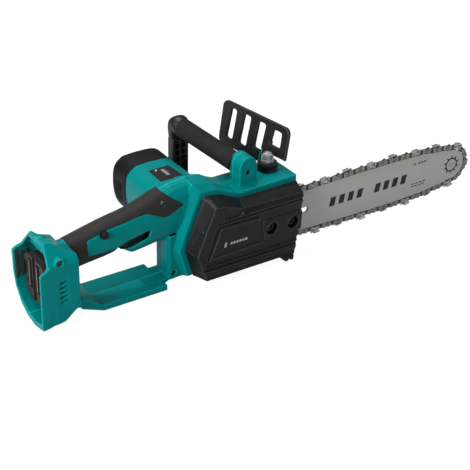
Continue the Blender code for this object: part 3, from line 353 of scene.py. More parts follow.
def spline(pts, n):
    """Closed Catmull-Rom curve through the points, n samples with even spacing."""
    m = len(pts)
    dense = []
    for i in range(m):
        p = [Vector(pts[(i + k - 1) % m]) for k in range(4)]
        for s in range(16):
            t = s / 16
            q = 0.5 * ((2 * p[1]) + (p[2] - p[0]) * t + (2 * p[0] - 5 * p[1] + 4 * p[2] - p[3]) * t * t + (3 * p[1] - p[0] - 3 * p[2] + p[3]) * t ** 3)
            dense.append((q.x, q.y))
    d = np.array(dense + dense[:1])
    s = np.concatenate([[0], np.cumsum(np.hypot(*np.diff(d, axis=0).T))])
    w = np.linspace(0, s[-1], n, endpoint=False)
    return [(float(np.interp(x, s, d[:, 0])), float(np.interp(x, s, d[:, 1]))) for x in w]


def evaluated(o):
    """Applies o's modifiers."""
    bpy.context.view_layer.update()
    graph = bpy.context.evaluated_depsgraph_get()
    me = bpy.data.meshes.new_from_object(o.evaluated_get(graph))
    mats = [m for m in o.data.materials]
    o.modifiers.clear()
    old = o.data
    o.data = me
    bpy.data.meshes.remove(old)
    me.materials.clear()
    for m in mats:
        me.materials.append(m)
    return o


def clean(o, dist=2e-3):
    bm = bmesh.new()
    bm.from_mesh(o.data)
    bmesh.ops.remove_doubles(bm, verts=bm.verts, dist=dist)
    bmesh.ops.dissolve_degenerate(bm, dist=dist * 0.5, edges=bm.edges)
    bm.to_mesh(o.data)
    bm.free()


def combine(a, b, op, keep=False):
    m = a.modifiers.new("op", "BOOLEAN")
    m.operation = op
    m.solver = "EXACT"
    m.object = b
    evaluated(a)
    clean(a)
    if not keep:
        bpy.data.objects.remove(b, do_unlink=True)
    return a


def cut(a, *others):
    for b in others:
        combine(a, b, "DIFFERENCE")
    return a


def fuse(a, *others):
    """Joins overlapping closed shapes in one mesh; a later remesh makes them one skin."""
    bm = bmesh.new()
    bm.from_mesh(a.data)
    for b in others:
        bm.from_mesh(b.data)
    bm.to_mesh(a.data)
    bm.free()
    for b in others:
        bpy.data.objects.remove(b, do_unlink=True)
    return a


def node_copy(node, name, mat):
    """Working copy of a CAD node in millimetres, welded."""
    me = NODES[node].data.copy()
    me.name = name
    me.transform(Matrix.Scale(1 / MM, 4))
    o = link_object(name, me, mat)
    clean(o, 1e-3)
    return o


def relax(me, rounds, weight=None, lam=0.5):
    n = len(me.vertices)
    co = np.empty(n * 3)
    me.vertices.foreach_get("co", co)
    co = co.reshape(-1, 3)
    e = np.empty(len(me.edges) * 2, np.int32)
    me.edges.foreach_get("vertices", e)
    e = e.reshape(-1, 2)
    deg = np.maximum(np.bincount(e.ravel(), minlength=n), 1)[:, None]
    w = np.ones((n, 1)) if weight is None else weight(co)[:, None]
    for _ in range(rounds):
        s = np.stack([np.bincount(e[:, 0], co[e[:, 1], k], n) + np.bincount(e[:, 1], co[e[:, 0], k], n) for k in range(3)], 1)
        co += lam * w * (s / deg - co)
    return co


def soften(o, voxel, rounds, keep=1.0, weight=None, snap=None):
    """Remeshes the solid on a voxel grid and relaxes it, so that every moulded edge gets a radius."""
    m = o.modifiers.new("remesh", "REMESH")
    m.mode = "VOXEL"
    m.voxel_size = voxel
    m.adaptivity = 0.0
    evaluated(o)
    co = relax(o.data, rounds, weight)
    if snap is not None:
        co = snap(co)
    o.data.vertices.foreach_set("co", co.ravel())
    o.data.update()
    if keep < 1.0:
        m = o.modifiers.new("fewer", "DECIMATE")
        m.ratio = keep
        evaluated(o)
    return o


def finish_piece(o, body, nodes=(), weighted=True, smooth=None):
    """Millimetres to metres, shading, body and node bookkeeping."""
    o.data.transform(Matrix.Scale(MM, 4))
    if smooth is not None:
        o.data.shade_smooth()
        o.data.set_sharp_from_angle(angle=math.radians(smooth))
    if weighted:
        m = o.modifiers.new("normals", "WEIGHTED_NORMAL")
        m.keep_sharp = True
        m.weight = 60
    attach(o, body)
    if nodes:
        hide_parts(*nodes)
    return o


ROOT = "saw_body"
SPLIT_Y = 30.0
M = (-43.8, 22.0)

# -------------------------------------------------------------- section data
HANDLE = [(-226, 17.0, -1.0, 36.5), (-212, 17.2, 0.0, 38.8), (-190, 17.6, 3.0, 44.0), (-165, 18.0, 5.5, 49.8), (-148, 18.2, 8.5, 53.0),
          (-136, 18.4, 5.5, 55.0), (-126, 18.6, -1.5, 57.5), (-108, 19.0, 0.5, 63.0), (-92, 19.6, 3.0, 69.5), (-70, 20.5, 3.0, 75.5),
          (-48, 21.0, 3.0, 78.0), (-28, 20.5, 3.0, 75.5), (-6, 19.0, 3.0, 61.0)]
BARREL = [(-70, 60), (-61, 62.3), (-44, 63), (-27, 62.3), (-17, 59), (-9, 49), (-5, 36), (-4.5, 20), (-8, 3), (-17, -9), (-30, -15),
          (-46, -17), (-61, -14), (-72, -6), (-79, 7), (-82, 27), (-80, 49)]
OM = [(-211.2, -5), (-211.2, 90), (-104, 90), (-90, 77), (-58, 52), (-84, 41), (-95, 46), (-108, 52), (-161, 44.5), (-190, 37.5),
      (-189, 17), (-151.5, 15), (-151.5, -5)]
CB = [(-51, -47), (-62, -8), (-37, 60), (-31, 61), (-13, 58), (15, 45.2), (103.5, 45.8), (101, -2), (98, -47), (72, -47)]
CF = [(-42, -48), (-57, -8.5), (-32, 52), (-28, 52.4), (-22, 51), (10, 39.5), (101, 37.5), (96.2, -2), (90, -48), (68, -48)]
CM = [((a[0] + b[0] * 2) / 3, (a[1] + b[1] * 2) / 3) for a, b in zip(CF, CB)]
STUD_X = (53.0, 85.5)
SCREW_H = (37.3, 68.8)
LOCK = (-166.5, 40.0)
FILLER = (80.0, 34.0)
HOUSING_SCREWS = [(-236.0, 33.0, -8.0), (-86.0, 59.5, 11.4), (-73.0, -41.0, 11.0)]
CAP_SCREWS = [(-69.0, 53.5), (-20.0, -4.5)]


def grown(pts, d, c=(-43, 23)):
    out = []
    for x, z in pts:
        v = Vector((x - c[0], z - c[1]))
        v = v * (1 + d / v.length)
        out.append((c[0] + v.x, c[1] + v.y))
    return out


def section(x, n=64, grow=0.0, e=2.6):
    """Grip's super-ellipse at a place along it, in YZ."""
    for (xa, *a), (xb, *b) in zip(HANDLE, HANDLE[1:]):
        if x <= xb:
            t = (x - xa) / (xb - xa)
            hw, zb, zt = (p + (q - p) * t for p, q in zip(a, b))
            break
    hw, zb, zt = hw + grow, zb - grow, zt + grow
    cz, hz = (zb + zt) / 2, (zt - zb) / 2
    out = []
    for k in range(n):
        a = 2 * math.pi * (k + 0.5) / n
        c, s = math.cos(a), math.sin(a)
        out.append((30.0 + hw * math.copysign(abs(c) ** (2 / e), c), cz + hz * math.copysign(abs(s) ** (2 / e), s)))
    return out


# ------------------------------------------------------------ teal half shells


def seam_weight(co):
    """Holds the parting faces still while the rest relaxes."""
    return np.clip((np.abs(co[:, 1] - SPLIT_Y) - 0.9) / 1.2, 0.0, 1.0)


def seam_snap(side):
    flat = 29.965 if side < 0 else 30.035

    def snap(co):
        near = np.abs(co[:, 1] - SPLIT_Y) < 0.8
        co[near, 1] = flat
        return co
    return snap


def long_sweep(name, path, r, mat, n=12):
    """Round bar along a path of points, millimetres."""
    bm = bmesh.new()
    rings = []
    pts = [Vector(p) for p in path]
    for i, p in enumerate(pts):
        t = (pts[min(i + 1, len(pts) - 1)] - pts[max(i - 1, 0)]).normalized()
        side = t.cross(Vector((0, 1, 0)) if abs(t.y) < 0.9 else Vector((1, 0, 0))).normalized()
        up = side.cross(t).normalized()
        rings.append([bm.verts.new(p + side * (r * math.cos(2 * math.pi * k / n)) + up * (r * math.sin(2 * math.pi * k / n))) for k in range(n)])
    for r0, r1 in zip(rings, rings[1:]):
        for i in range(n):
            j = (i + 1) % n
            bm.faces.new((r0[i], r0[j], r1[j], r1[i]))
    bm.faces.new(rings[0])
    bm.faces.new(rings[-1])
    return from_bmesh(name, bm, mat)


def housing(side):
    right = side < 0
    node = "housing_right" if right else "housing_left"
    o = node_copy(node, "shell_right" if right else "shell_left", TEAL)
    tools = []
    if right:
        # shallow recess round the vents, relief panel on the foot
        tools.append(prism("t", rounded(-239.5, -24.5, -225.6, 13.5, 2.5), "y", -9.0, -7.35, TEAL))
        tools.append(prism("t", [(-250, -52), (-243, -52), (-243, -30), (-250, -26)], "y", -9.5, -7.5, TEAL))
        # groove that sets the gear case off from the grip
        tools.append(prism("t", [(-77.4, 4), (-75.8, 4), (-58, 52), (-59.6, 52.6)], "y", 5.0, 10.6, TEAL))
    for t in tools:
        combine(o, t, "DIFFERENCE")
    if right:
        boss = turned("t", (-236.0, 33.0), "y", [(0, -7.0), (4.3, -7.0), (4.3, -8.0), (5.6, -8.0), (6.6, -7.2), (6.6, -4.0), (0, -4.0)], TEAL, 40)
        boss = cut(boss, cyl("t", (-236.0, 33.0), "y", 3.5, -12, -2, TEAL))
        fuse(o, boss)
    if not right:
        arch = [(24.5, 52), (50.5, 52), (50.5, 77)] + [(37.5 + 13 * math.cos(math.radians(a)), 77 + 13 * math.sin(math.radians(a))) for a in range(10, 180, 10)] + [(24.5, 77)]
        fuse(o, prism("t", arch, "y", 30.15, 36.6, TEAL))
    ramp_y = (11.5, 29.85) if right else (30.15, 46.8)
    fuse(o, prism("t", [(-112, -47.8), (-92.0, -46.0), (-88.0, -50), (-108, -52)], "y", ramp_y[0], ramp_y[1], TEAL))
    soften(o, 0.85, 5, 0.34, seam_weight, seam_snap(side))
    if right:
        for k in range(5):
            z0 = 5.5 - 6.4 * k
            q = soft_corners([(-237.4, z0 - 1.6), (-227.8, z0 + 0.6), (-227.8, z0 + 3.1), (-237.4, z0 + 1.1)], 1.0, 4)
            combine(o, prism("t", q, "y", -12, -2, TEAL), "DIFFERENCE")
    return finish_piece(o, ROOT, (node,), weighted=False, smooth=40)


# ------------------------------------------------------------------- overmould


def overmould(side):
    """Soft grip skin on one half, cut to the patch's outline, with a rounded lip."""
    right = side < 0
    node = "grip_overmould_right" if right else "grip_overmould_left"
    xs = list(np.linspace(-211.2, -57.5, 90))
    skin = loft("grip_right" if right else "grip_left", [(x, section(x)) for x in xs], "x", RUBBER)
    core = loft("t", [(x, section(x, grow=-1.2)) for x in np.linspace(-214, -55, 80)], "x", RUBBER)
    lo, hi = (-50, SPLIT_Y - 0.07) if right else (SPLIT_Y + 0.07, 120)
    combine(skin, prism("t", soft_corners(OM, 5.0, 6), "y", lo, hi, RUBBER), "INTERSECT")
    combine(skin, core, "DIFFERENCE")
    if right:
        cut(skin, cyl("t", LOCK, "y", 4.9, 0, 25, RUBBER), cyl("t", (-86.0, 59.5), "y", 3.5, 0, 29, RUBBER))
    else:
        cut(skin, prism("t", spline(grown(BARREL, 1.1), 96), "y", 36.0, 70.0, RUBBER))
    soften(skin, 0.5, 3, 0.4, lambda co: np.clip((np.abs(co[:, 1] - SPLIT_Y) - 0.5) / 0.8, 0, 1))
    return finish_piece(skin, ROOT, (node,), weighted=False, smooth=40)


# ------------------------------------------------------------------ chain cover


def chain_cover():
    """Black side cover: faceted shell with raised panel, recessed centre, ridges and nut pockets."""
    o = loft("side_cover", [(1.7, CB), (-4.0, CM), (-20.0, CF)], "y", COVER, None)
    fuse_list = [
        prism("t", [(66, -46), (76, -56), (88.5, -55.5), (90.0, -46)], "y", -20.0, -4.0, BLACK),
    ]
    cav = loft("t", [(2.5, inset(CB, 2.6)), (-4.0, inset(CM, 2.6)), (-17.2, inset(CF, 2.6))], "y", BLACK, None)
    cut(o, cav, prism("t", [(-16.8, -40), (3, -40), (3, 41.0), (-4, 40.0), (-16.8, 34.6)], "x", 84, 112, BLACK))
    combine(o, box("t", (44, -18, -8.6), (94.4, -2.2, 8.6), BLACK), "UNION")
    for b in fuse_list:
        combine(o, b, "UNION")
    # recessed middle field, lower step, ridges above, dark slope behind the upper edge
    cut(o,
        prism("t", soft_corners([(-46.5, -27.0), (-29.8, 25.4), (104, 25.4), (102, -27.0)], 2.0), "y", -24, -18.5, BLACK),
        prism("t", [(-54, -33.4), (-54, -29.2), (100, -29.2), (99, -33.4)], "y", -24, -18.1, BLACK),
        prism("t", [(-50, -50), (-50, -41.0), (99, -40.0), (97, -50)], "y", -24, -18.6, BLACK),
        prism("t", [(-28.5, 27.2), (-27.5, 30.6), (106, 31.8), (106, 28.6)], "y", -24, -18.1, BLACK),
        prism("t", [(-23.0, 56), (-18.5, 33.4), (6.0, 33.4), (9.5, 38.0), (9.5, 56)], "y", -24, -18.2, BLACK))
    # upper front band leans back towards the top edge
    cut(o, prism("t", [(-26, 31.4), (-20.0, 31.4), (-16.3, 41.5), (-16.3, 60), (-26, 60)], "x", 9.0, 112, BLACK))
    # front bevel teeth on the lip
    cut(o, prism("t", [(70.5, -57), (72, -51.8), (74.6, -51.8), (76.5, -57)], "y", -24, -16, BLACK),
        prism("t", [(80.0, -58), (81, -53.6), (83.6, -53.6), (84.6, -58)], "y", -24, -14.5, BLACK))
    # raised rim of the badge panel, and the low plinth round the nuts
    rim = prism("t", soft_corners([(-41, -19.0), (-23.4, 22.9), (33.5, 22.0), (38.5, -16.0)], 1.5), "y", -21.0, -18.0, BLACK)
    cut(rim, prism("t", soft_corners([(-36.4, -16.0), (-21.4, 19.8), (40, 18.4), (45, -13.2)], 1.0), "y", -24, -19.2, BLACK))
    combine(o, rim, "UNION")
    combine(o, prism("t", soft_corners([(41.5, -13.5), (38.5, 14.5), (99.5, 14.5), (98.5, -13.5)], 3.0), "y", -19.9, -18.2, BLACK), "UNION")
    for sx in STUD_X:
        cut(o, turned("t", (sx, 0), "y", [(0, -24), (9.6, -24), (8.4, -18.6), (8.4, -9.0), (0, -9.0)], BLACK, 48),
            cyl("t", (sx, 0), "y", 4.3, -12, 0, BLACK))
    soften(o, 0.5, 1, 0.42)
    badge = [[(-18.5, -6.2), (-15.4, -6.2), (-14.0, 0.2), (-17.1, 0.2)]]
    for k in range(6):
        x0 = -9.5 + 4.4 * k
        badge.append([(x0, -4.4), (x0 + 3.0, -4.4), (x0 + 3.5, -1.2), (x0 + 0.5, -1.2)])
    flat_marks("cover_badge", badge, -19.15, 0.15, MARK, -1)
    return finish_piece(o, ROOT, ("chain_cover",), weighted=False, smooth=32)


# ------------------------------------------------------------ motor and its cap


def ellipse_like(pts, n):
    return spline(pts, n)


def motor():
    ring = ellipse_like(BARREL, 128)
    outer = [(58.3, grown(ring, -0.5)), (58.8, ring), (113.6, ring), (115.0, grown(ring, -0.9))]
    o = loft("motor_shell", outer, "y", TEAL)
    cut(o, cyl("t", M, "y", 32.0, 50, 120, TEAL, 96))
    # flat land for the label
    cut(o, box("t", (-90, 55, 62.6), (0, 111, 70), TEAL))
    soften(o, 0.8, 2, 0.45, lambda co: np.clip((co[:, 1] - 58.9) / 0.8, 0, 1))
    finish_piece(o, ROOT, ("motor_housing",), weighted=False, smooth=40)

    rim = [(115.3, grown(ring, -0.7)), (116.1, ring), (120.0, grown(ring, 0.15)), (121.0, grown(ring, 0.15)), (121.4, grown(ring, -0.55)), (122.2, grown(ring, -0.55)), (122.6, grown(ring, 0.25)),
           (144.0, grown(ring, 0.75)), (147.5, grown(ring, 0.3)), (150.3, grown(ring, -1.6)), (151.8, grown(ring, -4.2)), (152.5, grown(ring, -7.5))]
    c = loft("motor_cap", rim, "y", BLACK)
    cut(c, prism("t", grown(ring, -3.0), "y", 110, 145.5, BLACK))
    for k in range(5):
        z0 = 2 + 9.0 * k
        cut(c, prism("t", rounded(-64, z0, -24, z0 + 4.0, 1.9), "y", 140, 155, BLACK))
    # raised ring round the vent field, shallow side vents low on both flanks
    cut(c, turned("t", M, "y", [(29.5, 150.9), (29.5, 155), (31.0, 155), (31.0, 150.9)], BLACK, 72, closed=True))
    for k in range(4):
        y0 = 126.5 + 4.6 * k
        for z in (8.0,):
            cut(c, box("t", (-86, y0, z), (-78.6, y0 + 2.0, z + 28), BLACK), box("t", (-8.6, y0, z), (0, y0 + 2.0, z + 28), BLACK))
    for sx, sz in CAP_SCREWS:
        combine(c, cyl("t", (sx, sz), "y", 4.8, 115.6, 147.0, BLACK), "UNION")
        cut(c, cyl("t", (sx, sz), "y", 3.5, 118.3, 160, BLACK), cyl("t", (sx, sz), "y", 1.7, 110, 160, BLACK))
    combine(c, cut(cyl("t", M, "y", 14.0, 137.0, 146.5, BLACK, 64), cyl("t", M, "y", 11.05, 130, 145.0, BLACK, 64)), "UNION")
    for k in range(5):
        z0 = 2 + 9.0 * k
        cut(c, prism("t", rounded(-64, z0, -24, z0 + 4.0, 1.9), "y", 140, 155, BLACK))
    soften(c, 0.62, 2, 0.35)
    finish_piece(c, ROOT, ("motor_end_cap",), weighted=False, smooth=38)

    # rating plate on top of the barrel, with plain generic bars in place of print
    quad = [(-62.0, 59.2), (-60.5, 92.5), (-31.5, 93), (-29.5, 59.2)]
    plate = prism("rating_plate", soft_corners(quad, 1.6, 4), "z", 62.4, 63.05, LABEL, 30, 0.12)
    finish_piece(plate, ROOT, (), weighted=False)
    marks = bmesh.new()
    bm = marks
    bars = [(-52.5, 88.0, 1.4, 3.6, 0.9)] + [(-44.5 + 0.0, 86.0 - 2.2 * k, 2.2, 1.2, 0.5) for k in range(8)]
    for cx, cy, hw, hh, skew in bars:
        pts = [(cx - hw - skew, cy - hh / 2), (cx + hw - skew, cy - hh / 2), (cx + hw + skew, cy + hh / 2), (cx - hw + skew, cy + hh / 2)]
        lo = [bm.verts.new((x, y, 63.0)) for x, y in pts]
        hi = [bm.verts.new((x, y, 63.14)) for x, y in pts]
        bm.faces.new(lo)
        bm.faces.new(hi)
        for i in range(4):
            bm.faces.new((lo[i], lo[(i + 1) % 4], hi[(i + 1) % 4], hi[i]))
    m = from_bmesh("rating_marks", bm, MARK, 0)
    finish_piece(m, ROOT, (), weighted=False)


# ----------------------------------------------------------- front handle, guard


def front_handle():
    o = node_copy("front_handle", "handle_frame", GUARD)
    cut(o, box("t", (-40, 120, 69.0), (60, 170, 120), GUARD))
    a, b = Vector((32.0, 42.0, 75.0)), Vector((12.0, 143.0, 89.5))
    d = (b - a).normalized()
    p0, c1, p2 = b - d * 8.0, Vector((12.4, 147.5, 98.0)), Vector((15.0, 145.5, 68.0))
    path = [(b - d * 20, d, 0.0), (b - d * 16, d, 0.0)]
    for k in range(21):
        t = k / 20
        q = p0 * (1 - t) ** 2 + c1 * 2 * t * (1 - t) + p2 * t * t
        tan = ((c1 - p0) * (1 - t) + (p2 - c1) * t).normalized()
        path.append((q, tan, t))
    bm = bmesh.new()
    rings = []
    n = 48
    for q, tan, t in path:
        side = Vector((1, 0, 0))
        side = (side - tan * side.dot(tan)).normalized()
        other = tan.cross(side)
        w = t * t * (3 - 2 * t)
        ha, hb, e = 12.5 + (12.0 - 12.5) * w, 12.5 + (6.5 - 12.5) * min(1.0, w * 1.05), 2.0 + 3.5 * w
        ring = []
        for j in range(n):
            ang = 2 * math.pi * j / n
            c, s = math.cos(ang), math.sin(ang)
            ring.append(bm.verts.new(q + side * (ha * math.copysign(abs(c) ** (2 / e), c)) + other * (hb * math.copysign(abs(s) ** (2 / e), s))))
        rings.append(ring)
    for r0, r1 in zip(rings, rings[1:]):
        for j in range(n):
            k = (j + 1) % n
            bm.faces.new((r0[j], r0[k], r1[k], r1[j]))
    bm.faces.new(rings[0])
    bm.faces.new(rings[-1])
    elbow = from_bmesh("t", bm, GUARD)
    # ribs across the channel in the post's inner face
    for k in range(9):
        z = -12 + 9.2 * k
        combine(o, box("t", (5.5, 140.4, z), (24.5, 144.9, z + 1.5), GUARD), "UNION")
    combine(o, box("t", (14.2, 139.8, -18.5), (15.8, 144.9, 66.5), GUARD), "UNION")
    # shallow panel on the outer face
    cut(o, prism("t", soft_corners([(6.5, -18), (23.5, -18), (23.5, 62), (6.5, 62)], 3), "y", 151.2, 156, GUARD))
    fuse(o, elbow)
    soften(o, 0.75, 4, 0.4)
    finish_piece(o, ROOT, ("front_handle",), weighted=False, smooth=45)
    a, b = Vector((32.0, 42.0, 75.0)), Vector((12.0, 143.0, 89.5))
    d = (b - a).normalized()
    side = d.cross(Vector((0, 0, 1))).normalized()
    up = side.cross(d).normalized()
    p0, p1 = a - d * 5.7, b - d * 8.5
    length = (p1 - p0).length
    bm = bmesh.new()
    n = 64
    outer = []
    steps = [0.0, 0.25, 0.9] + [2.0 + (length - 4.0) * k / 60 for k in range(61)] + [length - 0.9, length - 0.25, length]
    for s in steps:
        e = min(s, length - s)
        r = 12.6 - (0.9 * (1 - e / 0.9) ** 2 if e < 0.9 else 0.0)
        r -= 0.35 * max(0.0, 1 - abs(s - 4.5) / 0.8) + 0.35 * max(0.0, 1 - abs(length - s - 4.5) / 0.8)
        outer.append([bm.verts.new(p0 + d * s + side * (r * math.cos(2 * math.pi * k / n)) + up * (r * 1.0 * math.sin(2 * math.pi * k / n))) for k in range(n)])
    inner = [[bm.verts.new(p0 + d * s + side * (9.9 * math.cos(2 * math.pi * k / n)) + up * (9.9 * math.sin(2 * math.pi * k / n))) for k in range(n)] for s in (length, 0.0)]
    rings = outer + inner
    for r0, r1 in zip(rings, rings[1:] + rings[:1]):
        for i in range(n):
            j = (i + 1) % n
            bm.faces.new((r0[i], r0[j], r1[j], r1[i]))
    g = from_bmesh("handle_sleeve", bm, SLEEVE, 40)
    finish_piece(g, ROOT, ("front_handle_grip",), weighted=False)


def hand_guard():
    tl, tr = Vector((88, 146, 107.5)), Vector((104, 19, 109.5))
    ex = (tr - tl).normalized()
    lean = math.radians(10.2)
    up = Vector((math.sin(lean), 0, math.cos(lean)))
    up = (up - ex * up.dot(ex)).normalized()
    frame_rot = Matrix((ex, up, ex.cross(up))).transposed().to_4x4()
    o = prism("guard_plate", rounded(0, -60, 128, 0, 9, 8), "z", -2.4, 2.4, GUARD, None, 0.6)
    cut(o, prism("t", soft_corners([(130, -64), (130, -42.5), (102, -42.5), (90, -45), (78, -58), (78, -64)], 5.0, 5), "z", -6, 6, GUARD))
    slots = ([(13.8, -49), (26.5, -49), (28.3, -7), (17.0, -7)], [(39.9, -49), (53.8, -49), (56.4, -7), (42.8, -7)],
             [(68.6, -44), (82.0, -44), (85.6, -7.5), (70.6, -7.5)], [(96.6, -30.5), (116.0, -30.5), (116.0, -9), (99.8, -9)])
    for pts in slots:
        cut(o, prism("t", soft_corners(pts, 4.0, 5), "z", -6, 6, GUARD))
    o.data.transform(Matrix.Translation(tl) @ frame_rot)
    cut(o, box("t", (80, 48.4, 40), (110, 52.0, 68.6), GUARD), box("t", (80, 60.0, 40), (110, 63.8, 68.6), GUARD))
    lug = prism("t", soft_corners([(87.6, 60.5), (92, 57.4), (96.4, 60.5), (97.4, 68), (102.0, 80), (95.6, 80), (89.4, 66)], 1.2, 3), "y", 52.0, 60.0, GUARD)
    combine(o, lug, "UNION")
    cut(o, cyl("t", (92.0, 62.0), "y", 2.26, 40, 75, GUARD))
    # shallow finger groove under the top edge on the face towards the user
    for a0, a1 in ((10.0, 118.0),):
        t = prism("t", rounded(a0, -4.6, a1, -3.4, 0.5), "z", 1.9, 6, GUARD)
        t.data.transform(Matrix.Translation(tl) @ frame_rot)
        combine(o, t, "DIFFERENCE")
    soften(o, 0.6, 4, 0.4)
    finish_piece(o, "hand_guard", ("hand_guard",), weighted=False, smooth=45)


# ------------------------------------------------------------------- oil filler


def filler():
    c = FILLER
    o = turned("filler_neck", c, "z", [(6.0, 44.8), (8.9, 44.8), (8.9, 54.6), (12.8, 54.6), (13.3, 55.1), (13.4, 56.0), (13.1, 57.2), (12.3, 58.0), (12.0, 59.6), (12.0, 61.2), (12.7, 61.8), (12.9, 62.8),
                                        (12.6, 64.4), (11.9, 65.1), (9.4, 65.2), (8.9, 64.6), (6.0, 64.6)], BLACK, 96, closed=True)
    finish_piece(o, ROOT, (), weighted=False)
    ribs = bmesh.new()
    for k in range(24):
        a = 2 * math.pi * k / 24
        ca, sa = math.cos(a), math.sin(a)
        rings = []
        for z, r in ((57.6, 12.2), (58.2, 13.1), (61.6, 13.1), (62.2, 12.3)):
            rings.append([ribs.verts.new((c[0] + rr * ca - w * sa, c[1] + rr * sa + w * ca, z)) for rr, w in ((11.2, -0.55), (r, -0.4), (r, 0.4), (11.2, 0.55))])
        for r0, r1 in zip(rings, rings[1:]):
            for i in range(4):
                ribs.faces.new((r0[i], r0[(i + 1) % 4], r1[(i + 1) % 4], r1[i]))
        ribs.faces.new(rings[0])
        ribs.faces.new(rings[-1])
    r = from_bmesh("filler_knurl", ribs, BLACK, 30)
    finish_piece(r, ROOT, ("oil_filler",), weighted=False)
    # clear faceted dome
    n = 10
    prof = [(5.4, 58.6), (5.4, 65.5), (8.5, 65.5), (8.6, 66.4), (8.0, 70.8), (7.2, 74.6), (5.4, 77.2), (2.6, 78.3), (0, 78.4)]
    shell = bmesh.new()
    rings = []
    for rr, z in [(0, 58.6)] + prof:
        if rr < 1e-6:
            rings.append([shell.verts.new((c[0], c[1], z))])
            continue
        pts = []
        for k in range(n * 4):
            a = 2 * math.pi * k / (n * 4)
            flute = 1.0 - (0.055 * (0.5 - 0.5 * math.cos(n * a)) if z > 65.6 else 0.0)
            pts.append(shell.verts.new((c[0] + rr * flute * math.cos(a), c[1] + rr * flute * math.sin(a), z)))
        rings.append(pts)
    m = n * 4
    for r0, r1 in zip(rings, rings[1:]):
        for i in range(m):
            j = (i + 1) % m
            if len(r0) == 1:
                shell.faces.new((r0[0], r1[j], r1[i]))
            elif len(r1) == 1:
                shell.faces.new((r0[i], r0[j], r1[0]))
            else:
                shell.faces.new((r0[i], r0[j], r1[j], r1[i]))
    dome = from_bmesh("cap_dome", shell, CLEAR, 28)
    finish_piece(dome, "oil_cap", ("oil_cap_dome",), weighted=False)
    core = turned("cap_stem", c, "z", [(0, 58.9), (4.6, 58.9), (4.6, 66.2), (2.6, 67.2), (2.6, 72.4), (3.8, 73.2), (3.8, 74.0), (0, 74.6)], MARK, 40)
    finish_piece(core, "oil_cap", (), weighted=False)


# ------------------------------------------------------------------- guide bar


def bar_half_height(x):
    keys = ((26.0, 18.5), (40.0, 23.4), (60.0, 26.2), (114.0, 28.1), (190.0, 30.0), (262.0, 30.6), (310.0, 29.2), (345.0, 25.6), (367.4, 22.0))
    for (xa, ha), (xb, hb) in zip(keys, keys[1:]):
        if x <= xb:
            t = (x - xa) / (xb - xa)
            return ha + (hb - ha) * t * t * (3 - 2 * t) if xb > 300 else ha + (hb - ha) * t
    return keys[-1][1]


NOSE = (367.4, 0.0)


def bar_outline(d=0.0, tail=27.0, step=96):
    top = [(tail + 6 + (NOSE[0] - tail - 6) * k / step, bar_half_height(tail + 6 + (NOSE[0] - tail - 6) * k / step) - d) for k in range(step + 1)]
    r = 22.0 - d
    nose = [(NOSE[0] + r * math.cos(math.pi / 2 - math.pi * k / 40), r * math.sin(math.pi / 2 - math.pi * k / 40)) for k in range(1, 40)]
    return top + nose + [(x, -z) for x, z in reversed(top)] + [(tail + d, -bar_half_height(tail) + 4), (tail + d, bar_half_height(tail) - 4)]


def flat_marks(name, quads, y, thick, mat, side=-1):
    """Thin printed marks standing on a face at height y, facing -Y for side -1."""
    bm = bmesh.new()
    for pts in quads:
        a = [bm.verts.new((x, y, z)) for x, z in pts]
        b = [bm.verts.new((x, y + side * thick, z)) for x, z in pts]
        bm.faces.new(a)
        bm.faces.new(b)
        m = len(pts)
        for i in range(m):
            bm.faces.new((a[i], a[(i + 1) % m], b[(i + 1) % m], b[i]))
    o = from_bmesh(name, bm, mat, 0)
    return finish_piece(o, ROOT, (), weighted=False)


def ring_quads(c, r0, r1, n=48):
    out = []
    for k in range(n):
        a0, a1 = 2 * math.pi * k / n, 2 * math.pi * (k + 1) / n
        out.append([(c[0] + r * math.cos(a), c[1] + r * math.sin(a)) for r, a in ((r0, a0), (r1, a0), (r1, a1), (r0, a1))])
    return out


